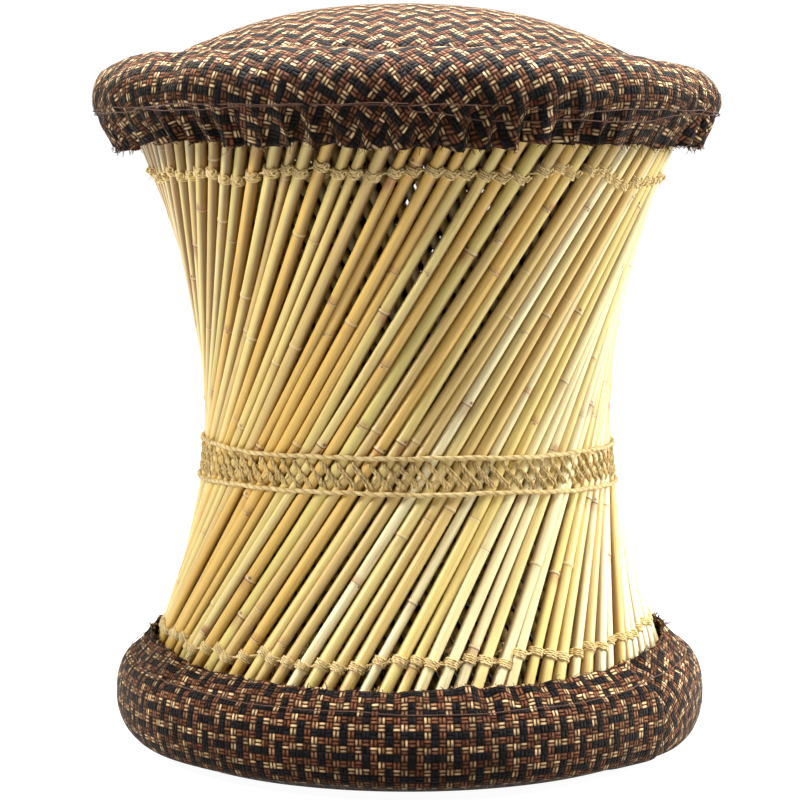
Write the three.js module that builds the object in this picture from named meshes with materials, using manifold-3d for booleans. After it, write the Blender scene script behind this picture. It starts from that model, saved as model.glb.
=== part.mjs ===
// Mudda stool: a drum of straight reeds in two layers that lean opposite ways, tied with
// jute twine under the seat, at the waist and above the base. The reed ends stand in two
// grass rolls, which are covered with woven cloth. Millimetres, +Z up, the front is at -Y.
// The origin is on the floor, under the middle of the seat.

import * as THREE from 'three';
import { mergeVertices } from 'three/addons/utils/BufferGeometryUtils.js';
import Module from 'manifold-3d';

const wasm = await Module();
wasm.setup();

// Reeds
const outerReedWidth = 7.3;     // across the flats of a reed
const innerReedWidth = 6.7;
const reedSides = 6;
const waistRadius = 119.8;      // middle lines of the outer reeds at the waist
const waistHeight = 201;
const reedFoot = 18;            // height of the reeds' lower ends
const reedTop = 386;            // height of the reeds' upper ends
const reedLeanShare = 0.63;     // sideways travel of an outer reed for each unit of height
const reedPressShare = 0.05;    // how far tied neighbours press into each other
const bundleCount = 18;         // bundles of tied neighbours in each layer
const layerGap = 0.5;           // between the outer and the inner layer

// Clearance between pieces that touch, and the facets of what is turned round the axis
const fitGap = 0.3;
const turnSteps = 40;
const hiddenSteps = 20;         // for the pieces that the cloth hides

// Cloth
const clothThickness = 1.5;
const foldCount = 20;           // gathered folds round each cloth edge

// Seat ring and crown
const seatRingInset = 6.7;      // middle of the section from the outer reeds' upper ends
const seatRingLift = 2.5;       // middle of the section above the reeds' upper ends
const seatRingHalfWidth = 28;
const seatRingHalfHeight = 23.7;
const seatRingSquareness = 2.1;
const crownLift = 56.1;         // top of the crown above the middle of the ring's section
const crownInset = 20.4;        // edge of the crown from the middle of the ring's section
const crownRise = 31.6;         // from the crease up to the top of the crown
const crownPower = 2.5;         // of the share in the crown's curve, so its top is flat
const creaseDepth = 5;
const seatEdgeDrop = 15;        // gathered edge that hangs under the seat
const seatEdgeInset = 10.5;
const seatFoldDepth = 2.4;

// Base ring
const baseRingInset = 16.3;     // middle of the section from the outer reeds' lower ends
const baseRingHeight = 30;      // middle of the section before the floor flattens it
const baseRingHalfWidth = 31;
const baseRingHalfHeight = 31.6;
const baseRingSquareness = 2.5;
const baseEdgeRise = 8;         // gathered edge that stands up round the reeds
const baseEdgeInset = 10;
const baseFoldDepth = 1.6;

// Hoops, deck and inner rolls
const hoopRadius = 4;
const hoopSides = 5;
const deckThickness = 5;
const seatInnerRollDrop = 24;
const seatInnerRollWidth = 18;

// Twine
const twineRadius = 1.2;
const cordRadius = 1.5;
const strandRadius = 0.9;
const twineSides = 3;
const cordSides = 5;
const tieSwing = 2;             // how far a tie climbs and falls between reeds
const topTieDrop = 42;          // below the reeds' upper ends
const bottomTieRise = 58;       // above the reeds' lower ends
const beltHeight = 174.5;       // halfway between the two cords
const beltWidth = 23;           // from cord to cord

// Brown thread that draws the cloth in
const threadRadius = 0.8;
const threadSides = 4;
const seatThreadDrop = 11.5;    // below the middle of the seat ring's section
const seatThreadPitch = 4;
const seatThreadLoops = 2;
const baseThreadRise = 25;      // above the middle of the base ring's section

// Colours and finish
const finishes = {
  reed: { color: 0xd8bd78, roughness: 0.5 },
  innerReed: { color: 0xb39455, roughness: 0.6 },
  twine: { color: 0xc4a468, roughness: 0.95 },
  cloth: { color: 0x4a2f24, roughness: 0.9 },
  thread: { color: 0x6b3524, roughness: 0.8 },
  grass: { color: 0xa8924f, roughness: 0.95 },
  cane: { color: 0xc09a55, roughness: 0.6 },
  rope: { color: 0xbda777, roughness: 0.95 },
  wadding: { color: 0xd9d0bd, roughness: 1 },
};

const stool = new THREE.Group();
stool.name = 'mudda_stool';

function addPiece(name, geometry, finish) {
  const material = new THREE.MeshStandardMaterial({ ...finishes[finish], metalness: 0 });
  const mesh = new THREE.Mesh(geometry, material);
  mesh.name = name;
  stool.add(mesh);
}

// Layers of reeds. The middle lines of a layer lie on a hyperboloid round the Z axis.
function makeLayer(width, waist, lean, turn) {
  return { width, waist, lean, turn, cornerRadius: width / 2 / Math.cos(Math.PI / reedSides) };
}

function lineRadius(layer, height) {
  return Math.hypot(layer.waist, layer.lean * (height - waistHeight));
}

// How much wider a reed is measured level than square to the surface of its layer
function levelStretch(layer, height) {
  const slope = layer.lean ** 2 * (height - waistHeight) / lineRadius(layer, height);
  return Math.hypot(1, slope);
}

function outsideOf(layer, height) {
  return lineRadius(layer, height) + layer.cornerRadius * levelStretch(layer, height);
}

function insideOf(layer, height) {
  return lineRadius(layer, height) - layer.cornerRadius * levelStretch(layer, height);
}

// The inner layer leans the other way, and a little less, so that it clears the outer
// layer at the waist and at both ends
function makeInnerLayer(outer) {
  const { cornerRadius } = makeLayer(innerReedWidth, 0, 0, -1);
  const waist = insideOf(outer, waistHeight) - layerGap - cornerRadius;
  const leans = [reedFoot, reedTop].map((height) => {
    const room = cornerRadius * levelStretch(outer, height) + layerGap;
    const clearRadius = insideOf(outer, height) - room;
    return Math.sqrt(clearRadius ** 2 - waist ** 2) / Math.abs(height - waistHeight);
  });
  return makeLayer(innerReedWidth, waist, Math.min(...leans), -1);
}

const outerLayer = makeLayer(outerReedWidth, waistRadius, reedLeanShare, 1);
const innerLayer = makeInnerLayer(outerLayer);

// How far the square-cut end of a leaning reed reaches past the end of its middle line
const endReach = outerLayer.cornerRadius * Math.sin(Math.atan(outerLayer.lean));

function solidOf(geometry) {
  const bare = geometry.clone();
  bare.deleteAttribute('normal');
  bare.deleteAttribute('uv');
  const merged = mergeVertices(bare);
  return new wasm.Manifold(new wasm.Mesh({
    numProp: 3,
    vertProperties: new Float32Array(merged.attributes.position.array),
    triVerts: new Uint32Array(merged.index.array),
  }));
}

function geometryOf(solid) {
  const mesh = solid.getMesh();
  const geometry = new THREE.BufferGeometry();
  geometry.setAttribute('position', new THREE.BufferAttribute(mesh.vertProperties, 3));
  geometry.setIndex(new THREE.BufferAttribute(mesh.triVerts, 1));
  geometry.computeVertexNormals();
  return geometry;
}

function polygon(radius, sides) {
  const corners = [];
  for (let i = 0; i < sides; i += 1) {
    const angle = 2 * Math.PI * i / sides;
    corners.push(new THREE.Vector2(radius * Math.sin(angle), radius * Math.cos(angle)));
  }
  return new THREE.Shape(corners);
}

// One straight reed. A corner of its section points away from the axis, so that two of
// its flats face its neighbours.
function makeReed(layer, angle) {
  const outward = new THREE.Vector3(Math.sin(angle), -Math.cos(angle), 0);
  const sideways = new THREE.Vector3(Math.cos(angle), Math.sin(angle), 0);
  const run = sideways.multiplyScalar(layer.turn * layer.lean).setZ(1);
  const foot = outward.clone().multiplyScalar(layer.waist).setZ(waistHeight);
  foot.addScaledVector(run, reedFoot - waistHeight);
  const along = run.clone().normalize();
  const across = new THREE.Vector3().crossVectors(outward, along);
  const place = new THREE.Matrix4().makeBasis(across, outward, along).setPosition(foot);
  const reed = new THREE.ExtrudeGeometry(polygon(layer.cornerRadius, reedSides), {
    depth: (reedTop - reedFoot) * run.length(),
    bevelEnabled: false,
  });
  return solidOf(reed.applyMatrix4(place));
}

// The reeds of a bundle stand a little closer than their width, so they are one solid at
// the waist. A bundle has as many reeds as keep clear of the next bundle. Across the
// reeds, the waist is shorter than its level circle by the cosine of their lean.
const bundleStep = 2 * Math.PI / bundleCount;

function squareRadius(layer) {
  return layer.waist * Math.cos(Math.atan(layer.lean));
}

function reedStep(layer) {
  return layer.width * (1 - reedPressShare) / squareRadius(layer);
}

function reedsPerBundle(layer) {
  const room = bundleStep - (layer.width + fitGap) / squareRadius(layer);
  return Math.floor(room / reedStep(layer)) + 1;
}

function makeBundle(layer, index) {
  const reedCount = reedsPerBundle(layer);
  const firstAngle = index * bundleStep - (reedCount - 1) * reedStep(layer) / 2;
  let bundle = makeReed(layer, firstAngle);
  for (let i = 1; i < reedCount; i += 1) {
    bundle = bundle.add(makeReed(layer, firstAngle + i * reedStep(layer)));
  }
  return geometryOf(bundle);
}

function addReeds() {
  for (let i = 0; i < bundleCount; i += 1) {
    const number = String(i + 1).padStart(2, '0');
    addPiece(`outer_reeds_${number}`, makeBundle(outerLayer, i), 'reed');
    addPiece(`inner_reeds_${number}`, makeBundle(innerLayer, i), 'innerReed');
  }
}

// Turned pieces. An outline lists [radius, height] points in anticlockwise order. It
// starts and ends on the axis, or else it is closed. A third number is the share of the
// fold depth by which the point swings in and out round the stool.
function turned(outline, steps, foldDepth = 0) {
  const rows = outline[0][0] === 0 ? outline : [...outline, outline[0]];
  const points = rows.map(([radius, height]) => new THREE.Vector2(radius, height));
  const geometry = new THREE.LatheGeometry(points, steps).rotateX(Math.PI / 2);
  const position = geometry.attributes.position;
  for (let i = 0; i < position.count; i += 1) {
    const foldShare = rows[i % rows.length][2] ?? 0;
    const angle = 2 * Math.PI * Math.floor(i / rows.length) / steps;
    const swing = foldDepth * foldShare * Math.cos(foldCount * angle);
    position.setX(i, position.getX(i) + swing * Math.sin(angle));
    position.setY(i, position.getY(i) - swing * Math.cos(angle));
  }
  return geometry;
}

// A faceted wall round a circle lies closer to the axis at the middle of each facet
function facetStretch(steps) {
  return 1 / Math.cos(Math.PI / steps);
}

// Walls of the slot that the two layers of reeds stand in
function slotOutside(height) {
  return (outsideOf(outerLayer, height) + fitGap) * facetStretch(turnSteps);
}

function slotInside(height) {
  return insideOf(innerLayer, height) - fitGap;
}

function slotWall(wallAt, fromHeight, toHeight) {
  const middle = (fromHeight + toHeight) / 2;
  return [fromHeight, middle, toHeight].map((height) => [wallAt(height), height]);
}

// Radii and heights that follow from the sizes above
const seatRingRadius = lineRadius(outerLayer, reedTop) - seatRingInset;
const crownRadius = seatRingRadius - crownInset;
const baseRingRadius = lineRadius(outerLayer, reedFoot) - baseRingInset;
const seatRingHeight = reedTop + seatRingLift;
const crownTop = seatRingHeight + crownLift;
const seatThreadHeight = seatRingHeight - seatThreadDrop;
const baseThreadHeight = baseRingHeight + baseThreadRise;

// Rolls. The section is a rounded square, and the floor presses the base roll flat.
const seatRing = {
  radius: seatRingRadius,
  height: seatRingHeight,
  halfWidth: seatRingHalfWidth,
  halfHeight: seatRingHalfHeight,
  squareness: seatRingSquareness,
};
const baseRing = {
  radius: baseRingRadius,
  height: baseRingHeight,
  halfWidth: baseRingHalfWidth,
  halfHeight: baseRingHalfHeight,
  squareness: baseRingSquareness,
};

// The point of a roll's section at an angle in degrees, counted from the outer side
// upwards, with the whole section drawn in by an inset
function rollPoint(roll, inset, degrees) {
  const angle = THREE.MathUtils.degToRad(degrees);
  const bend = 2 / roll.squareness;
  const across = Math.sign(Math.cos(angle)) * Math.abs(Math.cos(angle)) ** bend;
  const up = Math.sign(Math.sin(angle)) * Math.abs(Math.sin(angle)) ** bend;
  const height = roll.height + (roll.halfHeight - inset) * up;
  return [roll.radius + (roll.halfWidth - inset) * across, Math.max(height, inset)];
}

function rollArc(roll, inset, degreesList) {
  return degreesList.map((degrees) => rollPoint(roll, inset, degrees));
}

// The point at a height on the straight run from one point to another
function pointAtHeight(from, to, height) {
  const share = (height - from[1]) / (to[1] - from[1]);
  return [from[0] + (to[0] - from[0]) * share, height];
}

// Radius at which a thread lies at a height against the outer side of a line that rises
function threadRadiusAt(line, height) {
  const next = line.findIndex((point) => point[1] >= height);
  const [below, above] = [line[next - 1], line[next]];
  const slope = (above[0] - below[0]) / (above[1] - below[1]);
  return pointAtHeight(below, above, height)[0] + (threadRadius + fitGap) * Math.hypot(1, slope);
}

// A line moved to its left by a distance
function offsetLine(line, distance) {
  return line.map((point, i) => {
    const before = line[Math.max(i - 1, 0)];
    const after = line[Math.min(i + 1, line.length - 1)];
    const run = [after[0] - before[0], after[1] - before[1]];
    const scale = distance / Math.hypot(run[0], run[1]);
    return [point[0] - run[1] * scale, point[1] + run[0] * scale, point[2]];
  });
}

// Gathered edge of a cloth, from the place where a thread draws the cloth in
const edgeShares = [0.5, 1];

function gatheredEdge(start, inset, rise) {
  return edgeShares.map((share) => [start[0] - inset * share, start[1] + rise * share, share]);
}

// Angles of the points on the rolls' sections. The cloth over the seat roll ends where its
// thread lies, and the roll ends where the crown's edge begins.
const seatArcDegrees = [-35, -5, 25, 60, 90, 122];
const baseInnerArcDegrees = [-240, -210, -180];
const baseFloorArcDegrees = [-150, -120, -98, -82, -60, -30, 0, 30, 60];

// The rolls fill the cloth, with a fitting gap
const rollInset = clothThickness + fitGap;

// Levels between the reeds' ends and what lies on and under them
const reedsTopLevel = reedTop + endReach + fitGap;
const reedsFootLevel = reedFoot - endReach - fitGap;
const seatHoopHeight = reedsTopLevel - fitGap - hoopRadius;
const baseHoopHeight = reedsFootLevel + fitGap + hoopRadius;
const deckTopLevel = reedsTopLevel + deckThickness;

// Crown of the seat, at shares of the way from its middle to the crease
const crownShares = [0.96, 0.75, 0.4, 0];

function crownLine() {
  return crownShares.map((share) => [crownRadius * share, crownTop - crownRise * share ** crownPower]);
}

// The seat cloth's upper side, from its hanging edge over the roll and down into the
// crease, and from there over the crown to the axis
function seatClothLine() {
  const ring = rollArc(seatRing, 0, seatArcDegrees);
  const edge = gatheredEdge(ring[0], seatEdgeInset, -seatEdgeDrop).reverse();
  const crease = [crownRadius, crownTop - crownRise - creaseDepth];
  return [...edge, ...ring, crease, ...crownLine()];
}

function makeSeatCover() {
  const upper = seatClothLine();
  const lower = offsetLine(upper, clothThickness).reverse();
  lower[0][0] = 0;
  return turned([...lower, ...upper], turnSteps, seatFoldDepth);
}

// Edge of the deck and the pad, inside the seat roll
const padRadius = rollPoint(seatRing, rollInset, seatArcDegrees.at(-1))[0] - fitGap;

function makeSeatPad() {
  const pressed = offsetLine(seatClothLine(), rollInset).slice(-crownShares.length - 1);
  pressed.at(-1)[0] = 0;
  const bottomLevel = deckTopLevel + fitGap;
  const edgeTop = [padRadius, pressed[0][1]];
  return turned([[0, bottomLevel], [padRadius, bottomLevel], edgeTop, ...pressed], turnSteps);
}

function makeSeatDeck() {
  const corners = [[padRadius, reedsTopLevel], [padRadius, deckTopLevel]];
  return turned([[0, reedsTopLevel], ...corners, [0, deckTopLevel]], turnSteps);
}

// The seat roll lies outside the reeds' upper ends and over them
function makeSeatRoll() {
  const arc = rollArc(seatRing, rollInset, seatArcDegrees);
  const wall = slotWall(slotOutside, reedsTopLevel, arc[0][1]);
  return turned([...arc, [arc.at(-1)[0], reedsTopLevel], ...wall], turnSteps);
}

function makeSeatInnerRoll() {
  const top = seatHoopHeight - hoopRadius - fitGap;
  const bottom = top - seatInnerRollDrop;
  const hole = slotInside(bottom) - seatInnerRollWidth;
  return turned([[hole, bottom], ...slotWall(slotInside, bottom, top), [hole, top]], hiddenSteps);
}

// The base cloth is wrapped round the roll, from inside the reeds to its gathered edge
function makeBaseCover() {
  const arc = rollArc(baseRing, 0, [...baseInnerArcDegrees, ...baseFloorArcDegrees]);
  const line = [...arc, ...gatheredEdge(arc.at(-1), baseEdgeInset, baseEdgeRise)];
  return turned([...line, ...offsetLine(line, clothThickness).reverse()], turnSteps, baseFoldDepth);
}

// The base roll lies outside the reeds' lower ends and under them
function makeBaseRoll() {
  const arc = rollArc(baseRing, rollInset, baseFloorArcDegrees);
  const above = rollPoint(baseRing, rollInset, baseInnerArcDegrees.at(-1));
  const start = pointAtHeight(above, arc[0], reedsFootLevel);
  const wall = slotWall(slotOutside, arc.at(-1)[1], reedsFootLevel);
  return turned([start, ...arc, ...wall], turnSteps);
}

function makeBaseInnerRoll() {
  const arc = rollArc(baseRing, rollInset, baseInnerArcDegrees);
  const below = rollPoint(baseRing, rollInset, baseFloorArcDegrees[0]);
  const bottom = baseHoopHeight + hoopRadius + fitGap;
  const side = [...arc, pointAtHeight(arc.at(-1), below, bottom)];
  const hole = side.map(([radius, height]) => [radius * facetStretch(hiddenSteps), height]);
  return turned([...hole, ...slotWall(slotInside, bottom, arc[0][1])], hiddenSteps);
}

function makeHoop(height) {
  const radius = slotInside(height) - hoopRadius * levelStretch(innerLayer, height);
  return new THREE.TorusGeometry(radius, hoopRadius, hoopSides, hiddenSteps).translate(0, 0, height);
}

// A ring of twine that lies on the reeds, with a corner of its section towards them. Its
// steps stand by turns a swing above and a swing below its height, and it keeps a fitting
// gap to the reeds at each of them.
function makeTwineRing(ring) {
  const { height, swing = 0, radius, tall = radius, sides, steps, inside = false } = ring;
  const geometry = new THREE.TorusGeometry(1, 1, sides, steps);
  const position = geometry.attributes.position;
  for (let i = 0; i < position.count; i += 1) {
    const step = i % (steps + 1);
    const corner = Math.floor(i / (steps + 1)) / sides;
    const section = 2 * Math.PI * corner + (inside ? 0 : Math.PI);
    const level = height + swing * (-1) ** step + tall * Math.sin(section);
    const bulge = radius * Math.cos(section);
    const out = inside
      ? slotInside(level) - radius + bulge
      : (outsideOf(outerLayer, level) + fitGap) * facetStretch(steps) + radius + bulge;
    const angle = 2 * Math.PI * step / steps;
    position.setXYZ(i, out * Math.cos(angle), out * Math.sin(angle), level);
  }
  return geometry;
}

function addTies() {
  const reeds = bundleCount * reedsPerBundle(outerLayer);
  const tie = { radius: twineRadius, sides: twineSides };
  const outer = { ...tie, swing: tieSwing, steps: reeds };
  const inner = { ...tie, inside: true, steps: hiddenSteps };
  const topHeight = reedTop - topTieDrop;
  const bottomHeight = reedFoot + bottomTieRise;
  addPiece('top_tie_outer', makeTwineRing({ ...outer, height: topHeight }), 'twine');
  addPiece('top_tie_inner', makeTwineRing({ ...inner, height: topHeight }), 'twine');
  addPiece('bottom_tie_outer', makeTwineRing({ ...outer, height: bottomHeight }), 'twine');
  addPiece('bottom_tie_inner', makeTwineRing({ ...inner, height: bottomHeight }), 'twine');
}

// The belt: two cords, and a strand between them that goes up and down once for each reed.
// The swing of the strand leaves room for its sloping thickness: the square of
// room - swing is the square of strandRadius times 1 + (2 * swing / run) ** 2.
function addBelt() {
  const cord = { radius: cordRadius, sides: cordSides, steps: turnSteps };
  const upperHeight = beltHeight + beltWidth / 2;
  const lowerHeight = beltHeight - beltWidth / 2;
  addPiece('waist_cord_upper', makeTwineRing({ ...cord, height: upperHeight }), 'twine');
  addPiece('waist_cord_lower', makeTwineRing({ ...cord, height: lowerHeight }), 'twine');
  const room = beltWidth / 2 - cordRadius - fitGap;
  const steps = 2 * bundleCount * reedsPerBundle(outerLayer);
  const run = 2 * Math.PI * outsideOf(outerLayer, beltHeight) / steps;
  const square = (2 * strandRadius / run) ** 2 - 1;
  const left = room ** 2 - strandRadius ** 2;
  const swing = left / (room + Math.sqrt(room ** 2 + square * left));
  const strand = { radius: strandRadius, tall: room - swing, sides: twineSides, steps, swing };
  addPiece('waist_lashing', makeTwineRing({ ...strand, height: beltHeight }), 'twine');
}

// The thread that draws in the seat cloth goes round it in loops, one above the other, and
// bends where the cloth's facets meet.
class SeatThread extends THREE.Curve {
  getPoint(share, target = new THREE.Vector3()) {
    const angle = 2 * Math.PI * seatThreadLoops * share;
    const height = seatThreadHeight + seatThreadPitch * seatThreadLoops * share;
    const radius = threadRadiusAt(rollArc(seatRing, 0, seatArcDegrees), height);
    return target.set(radius * Math.sin(angle), -radius * Math.cos(angle), height);
  }

  getSpacedPoints(count) {
    return this.getPoints(count);
  }
}

function makeSeatThread() {
  const path = new SeatThread();
  const steps = seatThreadLoops * turnSteps;
  const points = path.getPoints(steps);
  const later = points.slice(turnSteps);
  const gaps = later.map((point, i) => point.distanceTo(points[i]) - 2 * threadRadius);
  console.log(`seat_thread: least gap to itself ${Math.min(...gaps).toFixed(2)} mm`);
  return new THREE.ExtrudeGeometry(polygon(threadRadius, threadSides), {
    steps,
    extrudePath: path,
    bevelEnabled: false,
  });
}

function makeBaseThread() {
  const radius = threadRadiusAt(rollArc(baseRing, 0, baseFloorArcDegrees), baseThreadHeight);
  const thread = new THREE.TorusGeometry(radius, threadRadius, threadSides, turnSteps);
  return thread.translate(0, 0, baseThreadHeight);
}

addReeds();
addTies();
addBelt();
addPiece('seat_cover', makeSeatCover(), 'cloth');
addPiece('seat_pad', makeSeatPad(), 'wadding');
addPiece('seat_deck', makeSeatDeck(), 'rope');
addPiece('seat_roll', makeSeatRoll(), 'grass');
addPiece('seat_inner_roll', makeSeatInnerRoll(), 'grass');
addPiece('seat_hoop', makeHoop(seatHoopHeight), 'cane');
addPiece('seat_thread', makeSeatThread(), 'thread');
addPiece('base_cover', makeBaseCover(), 'cloth');
addPiece('base_roll', makeBaseRoll(), 'grass');
addPiece('base_inner_roll', makeBaseInnerRoll(), 'grass');
addPiece('base_hoop', makeHoop(baseHoopHeight), 'cane');
addPiece('base_thread', makeBaseThread(), 'thread');

export default stool;
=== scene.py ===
"""Mudda stool: reeds, jute lashings, woven cloth and stuffing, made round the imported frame.

Metres, +Z up, the front is at -Y. The origin is on the floor, under the middle of the seat.
Round the stool, an angle is counted from the front towards +X.
"""

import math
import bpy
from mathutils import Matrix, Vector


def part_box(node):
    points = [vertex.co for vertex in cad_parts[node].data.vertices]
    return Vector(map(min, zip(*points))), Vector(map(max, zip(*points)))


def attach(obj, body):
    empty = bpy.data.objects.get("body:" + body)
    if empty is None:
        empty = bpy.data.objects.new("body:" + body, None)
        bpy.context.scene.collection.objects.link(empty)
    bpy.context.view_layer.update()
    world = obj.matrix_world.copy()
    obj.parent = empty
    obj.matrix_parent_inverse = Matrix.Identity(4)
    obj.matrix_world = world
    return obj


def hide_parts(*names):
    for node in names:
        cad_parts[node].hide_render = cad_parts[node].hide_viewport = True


bl_info = {
    "name": "Mudda Stool",
    "version": (1, 0, 0),
    "blender": (4, 5, 0),
    "location": "View3D > Sidebar > Mudda Stool",
    "description": "Builds a reed stool with jute lashings and a cloth-covered seat and base",
    "category": "Add Mesh",
}

import bpy
import numpy as np
from mathutils import Vector

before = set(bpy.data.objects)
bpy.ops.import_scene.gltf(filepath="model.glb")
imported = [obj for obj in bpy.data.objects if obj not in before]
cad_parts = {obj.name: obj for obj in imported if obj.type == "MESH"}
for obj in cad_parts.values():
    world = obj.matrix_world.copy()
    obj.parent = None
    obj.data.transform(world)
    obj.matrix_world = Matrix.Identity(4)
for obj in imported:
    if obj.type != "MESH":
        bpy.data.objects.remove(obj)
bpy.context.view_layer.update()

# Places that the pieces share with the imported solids
REED_COUNT = 90
REEDS_PER_BUNDLE = 5
WAIST_HEIGHT = 0.201
REED_FOOT = 0.018
REED_TOP = 0.386
OUTER_WAIST = 0.1198
OUTER_LEAN = 0.63
INNER_WAIST = 0.1112
INNER_LEAN = -0.605
SEAT_RING = {"radius": 0.16044, "height": 0.3885, "width": 0.028, "rise": 0.0237, "bend": 2 / 2.1}
BASE_RING = {
    "radius": 0.14996, "height": 0.030, "width": 0.031, "rise": 0.0316, "bend": 2 / 2.4, "tilt": 0.34,
}
CROWN_TOP = 0.4446
CROWN_RISE = 0.0316
CROWN_RADIUS = 0.140
CROWN_POWER = 2.5
CREASE = (0.1405, 0.4085)
SEAT_DRAWN_HEIGHT = 0.3775
ROLL_INSET = 0.0046
INNER_ROLL_INSET = 0.0036


def shade(code):
    """Linear colour of a screen colour. A channel over 0.04045 has 0.055 added, is divided by
    1.055 and raised to the power 2.4, and a lower one is divided by 12.92."""
    channels = [(code >> shift & 255) / 255 for shift in (16, 8, 0)]
    return [c / 12.92 if c < 0.04045 else ((c + 0.055) / 1.055) ** 2.4 for c in channels]


def length_prop(name, description, default):
    return bpy.props.FloatProperty(
        name=name, description=description, default=default, min=0, unit="LENGTH", precision=4
    )


def share_prop(name, description, default):
    return bpy.props.FloatProperty(
        name=name, description=description, default=default, min=0, max=1, subtype="FACTOR"
    )


def colour_prop(name, description, code):
    return bpy.props.FloatVectorProperty(
        name=name, description=description, default=shade(code), min=0, max=1, subtype="COLOR"
    )


def power_prop(name, description, default):
    return bpy.props.FloatProperty(name=name, description=description, default=default, min=0, unit="POWER")


class ReedSettings(bpy.types.PropertyGroup):
    outer_width: length_prop("Outer Width", "Mean thickness of the outer reeds", 0.0070)
    inner_width: length_prop("Inner Width", "Mean thickness of the inner reeds", 0.0064)
    spread: share_prop("Spread", "How much the reeds differ in thickness", 0.09)
    node_gap: length_prop("Node Gap", "Mean distance between the nodes of a reed", 0.21)
    flare: length_prop("Flare", "How far the reeds bend sideways above the base", 0.0022)
    cream: colour_prop("Cream", "Palest reeds", 0xF8E9B4)
    straw: colour_prop("Straw", "Common reeds", 0xE9CF7C)
    golden: colour_prop("Golden", "Ripest reeds", 0xE3B04A)
    olive: colour_prop("Olive", "Greenish reeds", 0xDAC76E)
    tan: colour_prop("Tan", "Weathered reeds", 0xD8B46C)
    scar: colour_prop("Scar", "Nodes and leaf scars", 0x6A3A22)


class TwineSettings(bpy.types.PropertyGroup):
    tie_radius: length_prop("Tie Radius", "Half the thickness of the ties' twine", 0.00062)
    cord_radius: length_prop("Cord Radius", "Half the thickness of the belt's cords", 0.00135)
    strand_radius: length_prop("Strand Radius", "Half the thickness of the belt's strands", 0.0010)
    thread_radius: length_prop("Thread Radius", "Half the thickness of the brown thread", 0.00032)
    top_height: length_prop("Top Row", "Height of the ties under the seat", 0.344)
    bottom_height: length_prop("Bottom Row", "Height of the ties above the base", 0.0735)
    belt_height: length_prop("Belt", "Height halfway between the belt's cords", 0.1745)
    belt_width: length_prop("Belt Width", "Distance from cord to cord", 0.023)
    jute: colour_prop("Jute", "Lit fibres of the twine", 0xF2DA9C)
    jute_shadow: colour_prop("Jute Shadow", "Fibres deep in the twine", 0xBC9654)
    worn_jute: colour_prop("Worn Jute", "Belt's strands, which hands and legs rub", 0xE3C27E)
    thread: colour_prop("Thread", "Brown drawing thread", 0x643C28)


class ClothSettings(bpy.types.PropertyGroup):
    thickness: length_prop("Thickness", "Thickness of the cloth", 0.0012)
    pair_pitch: length_prop("Pair Pitch", "Distance between neighbouring pairs of yarns", 0.00455)
    black: colour_prop("Black", "Darkest yarns", 0x1C1B1F)
    brown: colour_prop("Brown", "Red-brown yarns", 0x71422E)
    tan: colour_prop("Tan", "Palest yarns", 0xD0AC76)


class StuffingSettings(bpy.types.PropertyGroup):
    grass: colour_prop("Grass", "Stems in the rolls", 0xB39B5A)
    rope: colour_prop("Rope", "Grass rope of the deck", 0xC2A972)
    wadding: colour_prop("Wadding", "Cotton in the pad", 0xDAD2C0)
    cane: colour_prop("Cane", "Bent hoops", 0xC29A58)


class StageSettings(bpy.types.PropertyGroup):
    right: power_prop("Right", "Light from the right", 60)
    left: power_prop("Left", "Light from the left", 54)
    top: power_prop("Top", "Light from above the front", 108)
    back: power_prop("Back", "Light from above the back", 215)
    sky: share_prop("Sky", "Light from all round", 0.04)
    floor: colour_prop("Floor", "Colour of the floor", 0x848484)


class StoolSettings(bpy.types.PropertyGroup):
    reeds: bpy.props.PointerProperty(type=ReedSettings)
    twine: bpy.props.PointerProperty(type=TwineSettings)
    cloth: bpy.props.PointerProperty(type=ClothSettings)
    stuffing: bpy.props.PointerProperty(type=StuffingSettings)
    stage: bpy.props.PointerProperty(type=StageSettings)


# Curves and numbers

UP = np.array([0.0, 0.0, 1.0])
LEVEL = np.array([1.0, 1.0, 0.0])


def unit(vectors):
    """Each vector divided by its length."""
    return vectors / np.maximum(np.linalg.norm(vectors, axis=-1, keepdims=True), 1e-12)


def limited(value):
    """The value, kept between 0 and 1."""
    return np.clip(value, 0, 1)


def smooth(way):
    """The way from 0 to 1 with a slow start and end: three squares less two cubes."""
    way = limited(way)
    return 3 * way**2 - 2 * way**3


def bell(distance, width):
    """1 at no distance, and e to the power of minus the square of distance over width."""
    return np.exp(-((distance / width) ** 2))


def full_turn(count):
    """Equal steps of angle round the stool or a section, without the last one."""
    return 2 * np.pi * np.arange(count) / count


def round_point(radius, angle, height):
    """Points at a radius and an angle round the stool, counted from the front."""
    radius, angle, height = np.broadcast_arrays(radius, angle, height)
    return np.stack([radius * np.sin(angle), -radius * np.cos(angle), height], axis=-1)


def waves(angles, counts, phases, sizes):
    """Sum of cosine waves round the stool, one for each count, with its own phase and size."""
    shape = (-1,) + (1,) * np.ndim(angles)
    counts, phases, sizes = (np.reshape(x, shape) for x in (counts, phases, sizes))
    return (sizes * np.cos(counts * angles + phases)).sum(axis=0)


def random_waves(angles, counts, sizes, rng):
    """Waves with phases drawn at random."""
    return waves(angles, counts, rng.uniform(0, 6, len(counts)), sizes)


def gathers(angles, counts, rng):
    """Waves with phases and sizes drawn at random."""
    phases = rng.uniform(0, 6, len(counts))
    return waves(angles, counts, phases, rng.uniform(0.5, 1.0, len(counts)))


def run_along(line):
    """Distance along a line from its start to each of its points."""
    steps = np.linalg.norm(np.diff(line, axis=0), axis=1)
    return np.concatenate([[0], np.cumsum(steps)])


def taken_at(places, run, line):
    """Both columns of a line at places along its run, in straight steps between its points."""
    return np.stack([np.interp(places, run, line[:, k]) for k in (0, 1)], axis=-1)


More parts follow.
